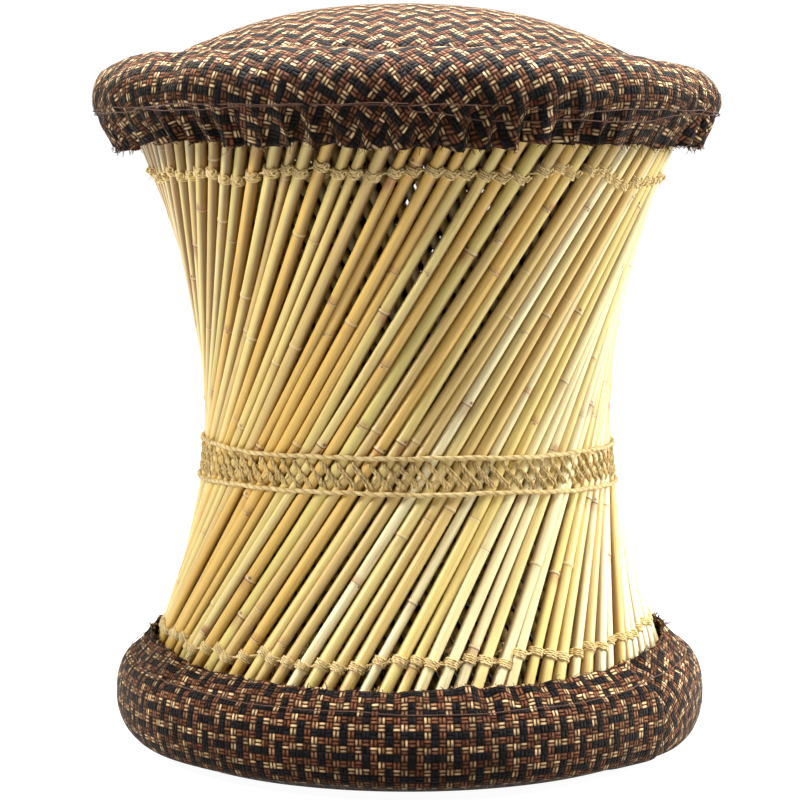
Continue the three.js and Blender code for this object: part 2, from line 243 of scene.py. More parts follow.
def resampled(line, count):
    """A line at equal steps along its length."""
    run = run_along(line)
    return taken_at(np.linspace(0, run[-1], count), run, line)


def even_profile(points, count, rounds):
    """The profile at equal steps along its length, with its corners rounded by averaging each
    inner point with its neighbours."""
    line = resampled(points, 600)
    for _ in range(rounds):
        line[1:-1] = (line[:-2] + 2 * line[1:-1] + line[2:]) / 4
    return resampled(line, count)


def profile_normals(profile):
    """Unit normals to the left of the profile's direction."""
    run = unit(np.gradient(profile, axis=0))
    return np.stack([-run[:, 1], run[:, 0]], axis=-1)


# Meshes

ATTRIBUTE_KINDS = {3: ("FLOAT_VECTOR", "vector"), 4: ("FLOAT_COLOR", "color")}


def new_piece(name, node, slot, material, vertices, faces, **attributes):
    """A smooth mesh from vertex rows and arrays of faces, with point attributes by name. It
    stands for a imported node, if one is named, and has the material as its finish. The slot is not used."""
    mesh = bpy.data.meshes.new(name)
    mesh.vertices.add(len(vertices))
    mesh.vertices.foreach_set("co", np.ascontiguousarray(vertices, np.float32).ravel())
    corners = np.concatenate([face.ravel() for face in faces])
    sizes = np.concatenate([np.full(len(face), face.shape[1]) for face in faces])
    mesh.loops.add(len(corners))
    mesh.loops.foreach_set("vertex_index", corners.astype(np.int32))
    mesh.polygons.add(len(sizes))
    starts = np.concatenate([[0], np.cumsum(sizes)[:-1]])
    mesh.polygons.foreach_set("loop_start", starts.astype(np.int32))
    mesh.update(calc_edges=True)
    mesh.shade_smooth()
    for key, values in attributes.items():
        kind, field = ATTRIBUTE_KINDS[values.shape[-1]]
        layer = mesh.attributes.new(key, kind, "POINT")
        layer.data.foreach_set(field, np.ascontiguousarray(values, np.float32).ravel())
    piece = bpy.data.objects.new(name, mesh)
    bpy.context.scene.collection.objects.link(piece)
    mesh.materials.append(material)
    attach(piece, "root")
    if node:
        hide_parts(node)
    return piece


def new_tubes(name, node, slot, material, sweeps):
    """One piece from several sweeps, whose places along the tubes its material reads."""
    starts = np.cumsum([0] + [len(vertices) for vertices, _, _ in sweeps])
    faces = [face + start for (_, group, _), start in zip(sweeps, starts) for face in group]
    vertices, _, places = zip(*sweeps)
    return new_piece(
        name, node, slot, material, np.concatenate(vertices), faces, place=np.concatenate(places)
    )


def grid_faces(rows, columns, wrap_rows=False, wrap_columns=True, grids=1):
    """Quads of equal grids that are stored one after another, row by row."""
    row = np.arange(rows if wrap_rows else rows - 1)[:, None]
    column = np.arange(columns if wrap_columns else columns - 1)[None, :]
    next_row, next_column = (row + 1) % rows, (column + 1) % columns
    corners = (
        row * columns + column,
        row * columns + next_column,
        next_row * columns + next_column,
        next_row * columns + column,
    )
    quads = np.stack([np.broadcast_to(corner, corners[0].shape) for corner in corners], axis=-1)
    starts = np.arange(grids)[:, None, None] * rows * columns
    return (quads.reshape(1, -1, 4) + starts).reshape(-1, 4)


def fan_faces(hub, ring, turned=False):
    """Triangles from a hub to each step of a closed ring of vertices."""
    hub, after = np.full(len(ring), hub), np.roll(ring, -1)
    return np.stack([hub, after, ring] if turned else [hub, ring, after], axis=-1)


def end_faces(rings, sides, tubes):
    """Flat ends of equal tubes that are stored one after another."""
    start = np.arange(tubes)[:, None] * rings * sides
    foot = start + np.arange(sides)[::-1]
    top = start + (rings - 1) * sides + np.arange(sides)
    return np.concatenate([foot, top])


def sweep(paths, normals, radii, sides, closed=False, run_start=0.0):
    """Tubes along paths. A ring's point at angle t is the path's point plus the radius times
    cos t across plus sin t along the normal, where across, normal and the path's direction
    stand square to each other. Gives vertices, faces and each vertex's (cos t, sin t, run)."""
    tubes, rings = paths.shape[:2]
    if closed:
        along = unit(np.roll(paths, -1, axis=1) - np.roll(paths, 1, axis=1))
    else:
        along = unit(np.gradient(paths, axis=1))
    normals = np.broadcast_to(normals, paths.shape)
    normals = unit(normals - (normals * along).sum(axis=-1, keepdims=True) * along)
    across = np.cross(normals, along)
    turn = full_turn(sides)
    ring = np.cos(turn)[:, None] * across[:, :, None] + np.sin(turn)[:, None] * normals[:, :, None]
    radii = np.broadcast_to(radii, (tubes, rings, sides))
    vertices = paths[:, :, None] + radii[..., None] * ring
    steps = np.linalg.norm(np.diff(paths, axis=1), axis=-1)
    run = np.concatenate([np.zeros((tubes, 1)), np.cumsum(steps, axis=1)], axis=1)
    run = run[:, :, None] + np.reshape(run_start, (-1, 1, 1)) + np.zeros(sides)
    place = np.stack([np.cos(turn) + 0 * run, np.sin(turn) + 0 * run, run], axis=-1)
    faces = [grid_faces(rings, sides, wrap_rows=closed, grids=tubes)]
    if not closed:
        faces.append(end_faces(rings, sides, tubes))
    return vertices.reshape(-1, 3), faces, place.reshape(-1, 3)


def hairs(roots, outward, lengths, radius, rng):
    """Loose fibres: each leaves its root near the outward direction and bends by a random
    sideways amount that grows with the square of the way along it."""
    count, steps, spread, curl, droop, taper = len(roots), 6, 0.7, 0.45, 0.15, 0.7
    way = np.linspace(0, 1, steps)[None, :, None]
    lean = unit(outward + rng.normal(0, spread, (count, 3)))
    bend = rng.normal(0, curl, (count, 3)) - droop * UP
    paths = roots[:, None] + lengths[:, None, None] * (way * lean[:, None] + way**2 * bend[:, None])
    thin = radius * (1 - taper * way[..., 0])[..., None]
    normal = unit(np.cross(lean, rng.normal(0, 1, (count, 3))))[:, None]
    return sweep(paths, normal, thin, 3, run_start=rng.uniform(0, 1, count))


def picked(points, picks):
    """The points of each path at its picked numbers, in one list."""
    return np.take_along_axis(points, picks[..., None], axis=1).reshape(-1, 3)


def path_hairs(paths, normals, each, spared, lengths, radius, rng):
    """Loose fibres at random points of each path, none at its spared end points. Their lengths
    have a gamma distribution, with its shape and scale given."""
    picks = rng.integers(spared, paths.shape[1] - spared, (len(paths), each))
    roots, outward = picked(paths, picks), picked(normals, picks)
    return hairs(roots, outward, rng.gamma(*lengths, len(roots)), radius, rng)


# Materials


class Graph:
    """Short calls for the nodes of one material or group."""

    def __init__(self, tree):
        self.tree = tree

    def add(self, kind, **options):
        node = self.tree.nodes.new(kind)
        for key, value in options.items():
            setattr(node, key, value)
        return node

    def feed(self, socket, value):
        if isinstance(value, bpy.types.NodeSocket):
            self.tree.links.new(value, socket)
        else:
            socket.default_value = value

    def fed(self, node, *values):
        """The node's first output, with its inputs fed in order."""
        for socket, value in zip(node.inputs, values):
            self.feed(socket, value)
        return node.outputs[0]

    def math(self, operation, *values):
        return self.fed(self.add("ShaderNodeMath", operation=operation), *values)

    def plus(self, first, second):
        return self.math("ADD", first, second)

    def minus(self, first, second):
        return self.math("SUBTRACT", first, second)

    def times(self, product, *factors):
        for factor in factors:
            product = self.math("MULTIPLY", product, factor)
        return product

    def size(self, value):
        return self.math("ABSOLUTE", value)

    def vector(self, operation, *values):
        return self.fed(self.add("ShaderNodeVectorMath", operation=operation), *values)

    def join(self, x, y, z):
        return self.fed(self.add("ShaderNodeCombineXYZ"), x, y, z)

    def split(self, vector):
        node = self.add("ShaderNodeSeparateXYZ")
        self.feed(node.inputs[0], vector)
        return node.outputs

    def ramp(self, value, low, high, to_low=0.0, to_high=1.0):
        """The value's way from low to high, smoothed, on the scale from to_low to to_high."""
        node = self.add("ShaderNodeMapRange", interpolation_type="SMOOTHSTEP")
        return self.fed(node, value, low, high, to_low, to_high)

    def mix(self, share, first, second, blend="MIX"):
        node = self.add("ShaderNodeMix", data_type="RGBA", blend_type=blend)
        self.feed(node.inputs[0], share)
        self.feed(node.inputs[6], first)
        self.feed(node.inputs[7], second)
        return node.outputs[2]

    def tinged(self, colour, mask, share, tint):
        """The colour, turned towards a tint by the mask times a share."""
        return self.mix(self.times(mask, share), colour, tint)

    def dimmed(self, colour, level):
        """The colour times a level."""
        return self.mix(1.0, colour, self.join(level, level, level), "MULTIPLY")

    def noise(self, vector, scale, detail=2.0, roughness=0.5, output=0):
        node = self.add("ShaderNodeTexNoise")
        inputs = {"Vector": vector, "Scale": scale, "Detail": detail, "Roughness": roughness}
        for name, value in inputs.items():
            self.feed(node.inputs[name], value)
        return node.outputs[output]

    def attribute(self, name, output="Vector"):
        return self.add("ShaderNodeAttribute", attribute_name=name).outputs[output]

    def object_place(self):
        return self.add("ShaderNodeTexCoord").outputs["Object"]

    def group(self, name, **inputs):
        node = self.add("ShaderNodeGroup", node_tree=bpy.data.node_groups[name])
        for key, value in inputs.items():
            self.feed(node.inputs[key.title()], value)
        return node.outputs


def opaque(colour, light=1.0):
    """A linear colour times a light, as a node takes it."""
    return [*(channel * light for channel in colour), 1.0]


def paint(code):
    return opaque(shade(code))


def new_group(name, inputs, outputs):
    """An empty node group with named sockets, and its graph, inputs and output node."""
    tree = bpy.data.node_groups.new(name, "ShaderNodeTree")
    kinds = {"value": "NodeSocketFloat", "vector": "NodeSocketVector", "colour": "NodeSocketColor"}
    for in_out, sockets in (("INPUT", inputs), ("OUTPUT", outputs)):
        for socket, kind in sockets.items():
            tree.interface.new_socket(name=socket, in_out=in_out, socket_type=kinds[kind])
    graph = Graph(tree)
    return graph, graph.add("NodeGroupInput").outputs, graph.add("NodeGroupOutput").inputs


def make_grain_group():
    """Fibres along a round stem: noise that is long along the run and fine round the stem."""
    graph, given, out = new_group(
        "Lengthwise Grain",
        {"Place": "vector", "Fineness": "value"},
        {"Streak": "value", "Mottle": "value"},
    )
    x, y, run = graph.split(given["Place"])
    fine = given["Fineness"]
    streak_place = graph.join(graph.times(x, fine), graph.times(y, fine), graph.times(run, 14.0))
    mottle_place = graph.join(x, y, graph.times(run, 22.0))
    graph.feed(out["Streak"], graph.noise(streak_place, 1.6, 4.0, 0.62))
    graph.feed(out["Mottle"], graph.noise(mottle_place, 0.9, 3.0, 0.55))


def make_twist_group():
    """Twisted twine: each ply is a rounded ridge that winds once round in a lay, and fine
    fibres run along the plies."""
    graph, given, out = new_group(
        "Twisted Plies",
        {"Place": "vector", "Plies": "value", "Lay": "value"},
        {"Height": "value"},
    )
    fibres_round, fibres_along = 5.0, 160.0
    x, y, run = graph.split(given["Place"])
    wind = graph.math("DIVIDE", graph.times(run, 2 * math.pi), given["Lay"])
    turn = graph.minus(graph.math("ARCTAN2", y, x), wind)
    ridge = graph.size(graph.math("SINE", graph.times(turn, given["Plies"], 0.5)))
    place = graph.join(
        graph.times(graph.math("COSINE", turn), fibres_round),
        graph.times(graph.math("SINE", turn), fibres_round),
        graph.times(run, fibres_along),
    )
    fibre = graph.noise(place, 1.0, 4.0, 0.7)
    graph.feed(out["Height"], graph.plus(graph.times(ridge, 0.8), graph.times(fibre, 0.45)))


def make_weave_group():
    """Basket weave of yarn pairs. Both sets of yarns repeat black, brown and tan. Squares with
    an even sum of row and column show the lengthwise pair, and the others the crosswise pair.
    A yarn is round across and dips at the ends of its square. Tan yarns are marled: each
    square's is tan, brown or a blend of the two. The colour has painted light: painted glints
    along the middle of tan and brown yarns, and painted shade at the yarns' edges and ends and
    in the low gaps between them."""
    graph, given, out = new_group(
        "Basket Weave",
        {"Place": "vector", "Pitch": "value", "Black": "colour", "Brown": "colour", "Tan": "colour"},
        {"Color": "colour", "Height": "value"},
    )
    # Painted shade colours for the yarns' edges
    black_edge_shade, tan_edge_shade = opaque([0.3, 0.22, 0.24]), opaque([0.6, 0.45, 0.4])
    # Painted highlight colour of the glints
    painted_glint_colour = paint(0xFFF3D0)
    x, y, _ = graph.split(given["Place"])
    x, y = graph.math("DIVIDE", x, given["Pitch"]), graph.math("DIVIDE", y, given["Pitch"])
    column, row = graph.math("FLOOR", x), graph.math("FLOOR", y)
    part_x, part_y = graph.minus(x, column), graph.minus(y, row)
    odd = graph.math("FLOORED_MODULO", graph.plus(column, row), 2.0)
    lengthwise = graph.minus(1.0, odd)

    def choose(first, second):
        return graph.plus(graph.times(lengthwise, first), graph.times(odd, second))

    across, along, number = choose(part_x, part_y), choose(part_y, part_x), choose(column, row)
    colour_number = graph.math("FLOORED_MODULO", number, 3.0)
    is_brown = graph.math("COMPARE", colour_number, 1.0, 0.4)
    is_tan = graph.math("COMPARE", colour_number, 2.0, 0.4)
    doubled = graph.times(across, 2.0)
    yarn = graph.math("FLOOR", doubled)
    offset = graph.minus(graph.times(graph.minus(doubled, yarn), 2.0), 1.0)
    inside = graph.minus(1.0, graph.times(offset, offset, 1.06))
    hump = graph.math("SQRT", graph.math("MAXIMUM", inside, 0.0))
    dip = graph.math("SINE", graph.times(along, math.pi))
    height = graph.times(hump, graph.plus(0.35, graph.times(dip, 0.65)))

    identity = graph.join(graph.plus(graph.times(number, 2.0), yarn), odd, choose(row, column))
    chance = graph.add("ShaderNodeTexWhiteNoise", noise_dimensions="3D")
    graph.feed(chance.inputs["Vector"], identity)
    luck = chance.outputs["Value"]
    marl = graph.ramp(graph.split(chance.outputs["Color"])[1], 0.1, 0.6, 0.2, 1.0)
    slant = graph.plus(along, graph.times(offset, 0.35))
    fibre_place = graph.join(graph.times(offset, 2.2), graph.times(slant, 1.5), luck)
    moved = graph.vector("ADD", fibre_place, graph.vector("MULTIPLY", identity, (3.1, 7.7, 1.3)))
    fibre = graph.noise(moved, 2.6, 4.0, 0.72)
    patch = graph.noise(given["Place"], 34.0, 3.0, 0.6)

    # Painted shade and highlight: the core is 1 along a yarn's middle and 0 at its edges, which take a
    # darker colour
    core = graph.ramp(graph.size(offset), 0.85, 0.2)
    # Painted highlight and random tone: a yarn is brighter where it rises in its square, and each yarn by
    # its luck
    worn_and_lit = graph.plus(graph.times(dip, 0.5), graph.times(luck, 0.35))
    core = graph.times(core, graph.ramp(graph.plus(worn_and_lit, fibre), 0.55, 1.15))
    # Painted highlight: pale glints along the middle of each tan and brown yarn
    painted_glint = graph.times(core, marl, graph.ramp(fibre, 0.44, 0.7))
    marled = graph.mix(marl, given["Brown"], given["Tan"])
    body = graph.mix(is_tan, graph.mix(is_brown, given["Black"], given["Brown"]), marled)
    # Painted shade at the yarns' edges: black and brown yarns darken, and tan yarns turn to a darkened
    # brown, partly the brown under them and partly painted shade
    edge = graph.mix(is_tan, body, given["Brown"])
    edge = graph.mix(1.0, edge, graph.mix(is_tan, black_edge_shade, tan_edge_shade), "MULTIPLY")
    lit = graph.mix(is_tan, graph.mix(0.5, body, given["Tan"]), painted_glint_colour)
    lit = graph.mix(graph.plus(is_tan, is_brown), body, lit)
    colour = graph.tinged(graph.mix(core, edge, body), painted_glint, 0.85, lit)
    # Painted shade: darker where the yarns lie low, in the gaps and dips between them; the luck and the
    # patch are random tone
    light = graph.times(
        graph.plus(0.36, graph.times(luck, 0.6)),
        graph.ramp(height, 0.1, 0.85, 0.12, 1.1),
        graph.ramp(patch, 0.3, 0.7, 0.75, 1.2),
    )
    graph.feed(out["Color"], graph.dimmed(colour, light))
    graph.feed(out["Height"], graph.plus(height, graph.times(fibre, 0.35)))


def new_material(name, roughness, specular):
    """A material with its graph and its shader, and the constants set on the shader."""
    material = bpy.data.materials.new(name)
    material.use_nodes = True
    shader = material.node_tree.nodes["Principled BSDF"]
    shader.inputs["Roughness"].default_value = roughness
    shader.inputs["Specular IOR Level"].default_value = specular
    return material, Graph(material.node_tree), shader


def finish(graph, shader, colour, height, distance, strength=1.0):
    """Feeds the shader's colour, and its normal from a height that stands for a distance."""
    graph.feed(shader.inputs["Base Color"], colour)
    node = graph.add("ShaderNodeBump")
    node.inputs["Distance"].default_value = distance
    node.inputs["Strength"].default_value = strength
    graph.feed(node.inputs["Height"], height)
    graph.feed(shader.inputs["Normal"], node.outputs[0])


def reed_material(name, scar, shadow, gloss):
    """Reed skin: the reed's own tint, streaked along the fibres and mottled, with painted shade that
    darkens its flanks, one flank more than the other, and a dark line, a pale rim and a brown stain
    at each node, and a bud on one side just above it. How strong a node's marks are is the tint's
    alpha. The shadow share turns the whole skin towards a dark brown: painted shadow, for reeds
    in the shade inside the drum."""
    stain_reach, line_reach, rim_rise = 0.0085, 0.0007, 0.0011
    bud_rise, bud_reach, reed_radius = 0.0022, 0.0012, 0.0035
    # Painted light among these colours: the first is painted shade for the flanks, and the last is painted
    # shadow for the inner reeds
    flank_shade_brown, mottle_gold, stain_brown = paint(0x6A4218), paint(0xC08E42), paint(0xA66A3E)
    rim_cream, painted_shadow_brown = paint(0xEBD9AC), paint(0x543210)
    material, graph, shader = new_material(name, 0.38, gloss)
    place = graph.attribute("place")
    mark = graph.attribute("tint", "Alpha")
    across, outward, _ = graph.split(place)
    cos_bud, sin_bud, distance = graph.split(graph.attribute("node_place"))
    grain = graph.group("Lengthwise Grain", place=place, fineness=3.4)
    streak, mottle = grain["Streak"], grain["Mottle"]

    colour = graph.dimmed(graph.attribute("tint", "Color"), graph.ramp(streak, 0.3, 0.72, 0.86, 1.06))
    # Painted shade: the flanks turn brown, one flank more than the other, for the shade between
    # neighbouring reeds
    painted_flank_shade = graph.ramp(graph.plus(outward, graph.times(across, 0.22)), 0.68, -0.2)
    colour = graph.tinged(colour, painted_flank_shade, 0.82, flank_shade_brown)
    colour = graph.tinged(colour, graph.ramp(mottle, 0.52, 0.75), 0.42, mottle_gold)
    stain = graph.size(graph.plus(distance, graph.times(mottle, 0.004)))
    stain = graph.times(graph.ramp(stain, stain_reach, 0.001), graph.ramp(mottle, 0.38, 0.62, 0.25, 1.0))
    colour = graph.tinged(colour, stain, mark, stain_brown)
    rim = graph.ramp(graph.size(graph.minus(distance, rim_rise)), rim_rise, 0.0003)
    colour = graph.tinged(colour, rim, 0.4, rim_cream)
    line = graph.times(graph.ramp(graph.size(distance), line_reach, 0.0001), graph.plus(0.25, mark))
    colour = graph.tinged(colour, line, 0.75, opaque(scar))
    side, rise = graph.times(sin_bud, reed_radius), graph.minus(distance, bud_rise)
    reach = graph.math("SQRT", graph.plus(graph.times(side, side), graph.times(rise, rise)))
    bud = graph.times(graph.ramp(reach, bud_reach, 0.0006), graph.ramp(cos_bud, 0.1, 0.3))
    colour = graph.tinged(colour, graph.times(bud, graph.ramp(mark, 0.3, 0.5)), 0.9, opaque(scar))
    # Painted shadow: the shadow share turns the skin dark brown, for the inner reeds in the shade inside
    # the drum
    colour = graph.mix(shadow, colour, painted_shadow_brown)
    graph.feed(shader.inputs["Roughness"], graph.ramp(mottle, 0.3, 0.8, 0.28, 0.5))
    finish(graph, shader, colour, graph.minus(streak, graph.times(line, 1.5)), 0.00025, 0.8)
    return material


def twine_material(name, lay, lit, groove_shade):
    """Two plies of twisted fibres, with painted shade that makes them darker in the grooves between them.
    """
    material, graph, shader = new_material(name, 0.9, 0.2)
    twist = graph.group("Twisted Plies", place=graph.attribute("place"), plies=2.0, lay=lay)
    wear = graph.ramp(graph.noise(graph.object_place(), 60.0, 3.0, 0.6), 0.35, 0.7, -0.15, 0.2)
    # Painted shade: the share falls in the grooves, where the deep colour stands for shade between the
    # plies; the wear is random tone
    share = graph.plus(graph.ramp(twist["Height"], 0.2, 0.85, 0.1, 0.85), wear)
    shader.inputs["Sheen Weight"].default_value = 0.25
    finish(graph, shader, graph.mix(share, groove_shade, lit), twist["Height"], 0.0004, 0.8)
    return material


def yarn_material(name):
    """Loose yarn in the tint of each end, with twisted fibres and painted shade in the twist's grooves."""
    material, graph, shader = new_material(name, 0.9, 0.2)
    twist = graph.group("Twisted Plies", place=graph.attribute("place"), plies=2.0, lay=0.003)
    # Painted shade: the yarn darkens in the grooves of its twist
    light = graph.ramp(twist["Height"], 0.2, 0.9, 0.55, 1.15)
    colour = graph.dimmed(graph.attribute("tint", "Color"), light)
    finish(graph, shader, colour, twist["Height"], 0.0003, 0.7)
    return material


def cloth_material(name, cloth, wobble, packing, painted_light_level):
    """Basket weave on the cloth's own flat cut, pulled a little out of square. The yarns lie
    closer together by the packing. The colours are multiplied by the painted light level:
    painted light, which makes the base's cloth look more brightly lit than the seat's."""
    material, graph, shader = new_material(name, 0.6, 0.04)
    place = graph.vector("MULTIPLY", graph.attribute("cut"), (packing,) * 3)
    pull = graph.vector("SUBTRACT", graph.noise(place, 28.0, output=1), (0.5,) * 3)
    # Painted light: the yarn colours are brightened by the painted light level
    weave = graph.group(
        "Basket Weave",
        place=graph.vector("ADD", place, graph.vector("MULTIPLY", pull, (wobble,) * 3)),
        pitch=cloth.pair_pitch,
        black=opaque(cloth.black, painted_light_level),
        brown=opaque(cloth.brown, painted_light_level),
        tan=opaque(cloth.tan, painted_light_level),
    )
    shader.inputs["Sheen Weight"].default_value = 0.1
    shader.inputs["Sheen Roughness"].default_value = 0.35
    shader.inputs["Sheen Tint"].default_value = paint(0xF0DCB4)
    finish(graph, shader, weave["Color"], weave["Height"], 0.0011)
    return material


def grass_material(name, grass):
    """Dry stems side by side, each with its own tone, and painted shade where neighbouring stems meet."""
    material, graph, shader = new_material(name, 0.8, 0.3)
    turn, level, run = graph.split(graph.attribute("stems"))
    number = graph.math("FLOOR", turn)
    hump = graph.math("SINE", graph.times(graph.minus(turn, number), math.pi))
    tone = graph.noise(graph.join(graph.times(number, 3.7), level, graph.times(run, 9.0)), 1.0)
    # Painted shade: each stem darkens towards its sides, where it meets the next
    light = graph.times(graph.plus(0.45, tone), graph.ramp(hump, 0.0, 0.8, 0.3, 1.0))
    finish(graph, shader, graph.dimmed(opaque(grass), light), hump, 0.001, 0.9)
    return material


def wadding_material(name, wadding):
    """Cotton in small tufts."""
    material, graph, shader = new_material(name, 1.0, 0.1)
    tuft = graph.noise(graph.object_place(), 220.0, 5.0, 0.65)
    colour = graph.dimmed(opaque(wadding), graph.ramp(tuft, 0.25, 0.75, 0.7, 1.05))
    finish(graph, shader, colour, tuft, 0.002, 0.8)
    return material


def cane_material(name, cane):
    """Peeled cane with lengthwise fibres."""
    material, graph, shader = new_material(name, 0.5, 0.4)
    streak = graph.group("Lengthwise Grain", place=graph.attribute("place"), fineness=3.0)["Streak"]
    colour = graph.dimmed(opaque(cane), graph.ramp(streak, 0.3, 0.75, 0.65, 1.1))
    finish(graph, shader, colour, streak, 0.0004, 0.7)
    return material


# Reeds


def reed_widths(mean, spread, rng):
    """Random widths that keep the sum of every bundle, so neighbours just touch."""
    widths = rng.normal(1, spread, (REED_COUNT // REEDS_PER_BUNDLE, REEDS_PER_BUNDLE))
    widths = np.clip(widths, 0.82, 1.2)
    return (mean * widths / widths.mean(axis=1, keepdims=True)).ravel()


def reed_angles(widths):
    """Angles of neighbouring reeds, in proportion to the widths between their middles. The
    first bundle's middle is at the front."""
    edges = np.concatenate([[0], np.cumsum(widths)])
    middles = (edges[:-1] + edges[1:]) / 2
    return 2 * np.pi * (middles / edges[-1] - REEDS_PER_BUNDLE / 2 / len(widths))


class Layer:
    """The reeds of one layer, with all that the ties need to lie on them."""

    def __init__(self, settings, outer):
        self.outer = outer
        self.side = "outer" if outer else "inner"
        self.facing = 1 if outer else -1
        self.waist = OUTER_WAIST if outer else INNER_WAIST
        self.lean = OUTER_LEAN if outer else INNER_LEAN
        self.rng = np.random.default_rng(11 if outer else 23)
        mean = settings.outer_width if outer else settings.inner_width
        self.widths = reed_widths(mean, settings.spread, self.rng)
        self.angles = reed_angles(self.widths)
        self.out = round_point(1.0, self.angles, 0.0)
        self.flare = settings.flare if outer else 0.0
        usual_sway, most_sway = 0.0009, 0.0016
        self.sway = self.rng.normal(0, usual_sway, (3, REED_COUNT, 1)).clip(-most_sway, most_sway)

    def shift(self, heights):
        """Sideways bend: a flare towards the base, and a small bow of each reed's own."""
        flare_start, flare_way, hidden_way = WAIST_HEIGHT - 0.03, 0.11, 0.05
        below = smooth((flare_start - heights) / flare_way)
        hidden = limited((heights - REED_FOOT) / hidden_way)
        rise = (heights - WAIST_HEIGHT) / (REED_TOP - WAIST_HEIGHT)
        return self.sway[0] * rise + self.sway[1] * np.sin(np.pi * rise) * 1.4 - self.flare * below * hidden

    def depth(self, heights):
        """Small bow outwards, none at the waist, where the belt holds the reeds."""
        rise = (heights - WAIST_HEIGHT) / (REED_TOP - WAIST_HEIGHT)
        return self.sway[2] * 0.8 * np.sin(np.pi * limited(np.abs(rise)))

    def line(self, heights):
        """Middle lines at heights, one row for each reed: the waist's radius and the depth
        outwards, the lean times the height over the waist and the shift sideways."""
        heights = np.broadcast_to(heights, (REED_COUNT, np.shape(heights)[-1]))
        side = np.stack([np.cos(self.angles), np.sin(self.angles), 0 * self.angles], axis=-1)
        outward = (self.waist + self.depth(heights))[..., None] * self.out[:, None]
        aside = (self.lean * (heights - WAIST_HEIGHT) + self.shift(heights))[..., None] * side[:, None]
        return outward + aside + heights[..., None] * UP

    def frame_at(self, heights):
        """Middle, direction and outward normal of each reed at one height of its own."""
        step = 0.002
        rows = self.line(np.stack([heights - step, heights, heights + step], axis=-1))
        along = unit(rows[:, 2] - rows[:, 0])
        return rows[:, 1], along, unit(self.out - (self.out * along).sum(-1, keepdims=True) * along)

    def turned(self, heights):
        """Angle that a reed has gone round the stool from the waist to a height, nearly."""
        return self.lean * (heights - WAIST_HEIGHT) / self.waist

    def skin(self, heights):
        """Radius of the layer's outermost points at a height."""
        line = np.hypot(self.waist, self.lean * (heights - WAIST_HEIGHT))
        slope = self.lean**2 * (heights - WAIST_HEIGHT) / line
        return line + self.widths.mean() / 2 * np.hypot(1, slope)


# Reeds that stand out in the photograph's part of the outer layer: reed number, finish, node height
KNOWN_REEDS = {
    -19: ("tan", 0.352),
    -16: ("golden", 0.36),
    -13: ("straw", 0.25),
    -12: ("golden", 0.31),
    -11: ("straw", 0.197),
    -10: ("straw", 0.236),
    -9: ("tan", 0.246),
    -6: ("golden", 0.05),
    -3: ("straw", 0.19),
    -1: ("olive", 0.30),
    0: ("tan", 0.199),
    1: ("golden", 0.188),
    3: ("tan", 0.193),
    5: ("cream", 0.214),
    7: ("tan", 0.263),
}
FINISHES = ("cream", "straw", "golden", "olive", "tan")


def reed_tints(settings, layer):
    """Each reed's finish, drawn with chances that turn from olive and straw on the left to
    cream on the right, and two colours for its two ends. The paler cream on the right is partly
    the reeds' own colour and partly painted light, for the brighter light on that side."""
    palette = np.array([list(getattr(settings, name)) for name in FINISHES])
    # Partly painted light: cream grows likelier towards the right, where the light is brighter
    right = (np.sin(layer.angles) + 1) / 2
    cream, straw, golden = 0.02 + 0.84 * right**2.5, 0.5 + 0 * right, 0.07 - 0.03 * right
    olive, tan = 0.26 - 0.2 * right, 0.09 - 0.02 * right
    chances = np.stack([cream, straw, golden, olive, tan], axis=-1)
    levels = np.cumsum(chances / chances.sum(axis=1, keepdims=True), axis=1)
    pick = (layer.rng.uniform(0, 1, (REED_COUNT, 1)) > levels).sum(axis=1)
    if layer.outer:
        for number, (finish_name, _) in KNOWN_REEDS.items():
            pick[number] = FINISHES.index(finish_name)
    ends = np.clip(pick[:, None] + layer.rng.choice([0, 0, 1, -1], (REED_COUNT, 2)), 0, 1)
    base = palette[pick][:, None] * layer.rng.uniform(0.9, 1.06, (REED_COUNT, 2, 1))
    return 0.65 * base + 0.35 * palette[ends]


def reed_nodes(settings, layer):
    """Heights of three nodes of each reed, a gap apart, from a random start."""
    gaps = settings.node_gap * layer.rng.uniform(0.72, 1.25, (REED_COUNT, 3))
    start = REED_FOOT - layer.rng.uniform(0, 1, (REED_COUNT, 1)) * gaps[:, :1]
    nodes = start + np.cumsum(gaps, axis=1)
    if layer.outer:
        for number, (_, height) in KNOWN_REEDS.items():
            nodes[number] = height + settings.node_gap * np.array([-1, 0, 1])
    return nodes


def reed_heights(nodes):
    """Heights of each reed's rings: even steps, and close ones round every node."""
    regular_rings, apart = 22, 1e-5
    near = 0.85 * np.array([-0.006, -0.0025, -0.0012, -0.0005, 0, 0.0006, 0.0014, 0.0026, 0.006])
    around = (nodes[:, :, None] + near).reshape(REED_COUNT, -1)
    regular = np.linspace(REED_FOOT, REED_TOP, regular_rings) + np.zeros((REED_COUNT, 1))
    heights = np.concatenate([around, regular], axis=1).clip(REED_FOOT, REED_TOP)
    return np.sort(heights, axis=1) + np.linspace(0, apart, heights.shape[1])


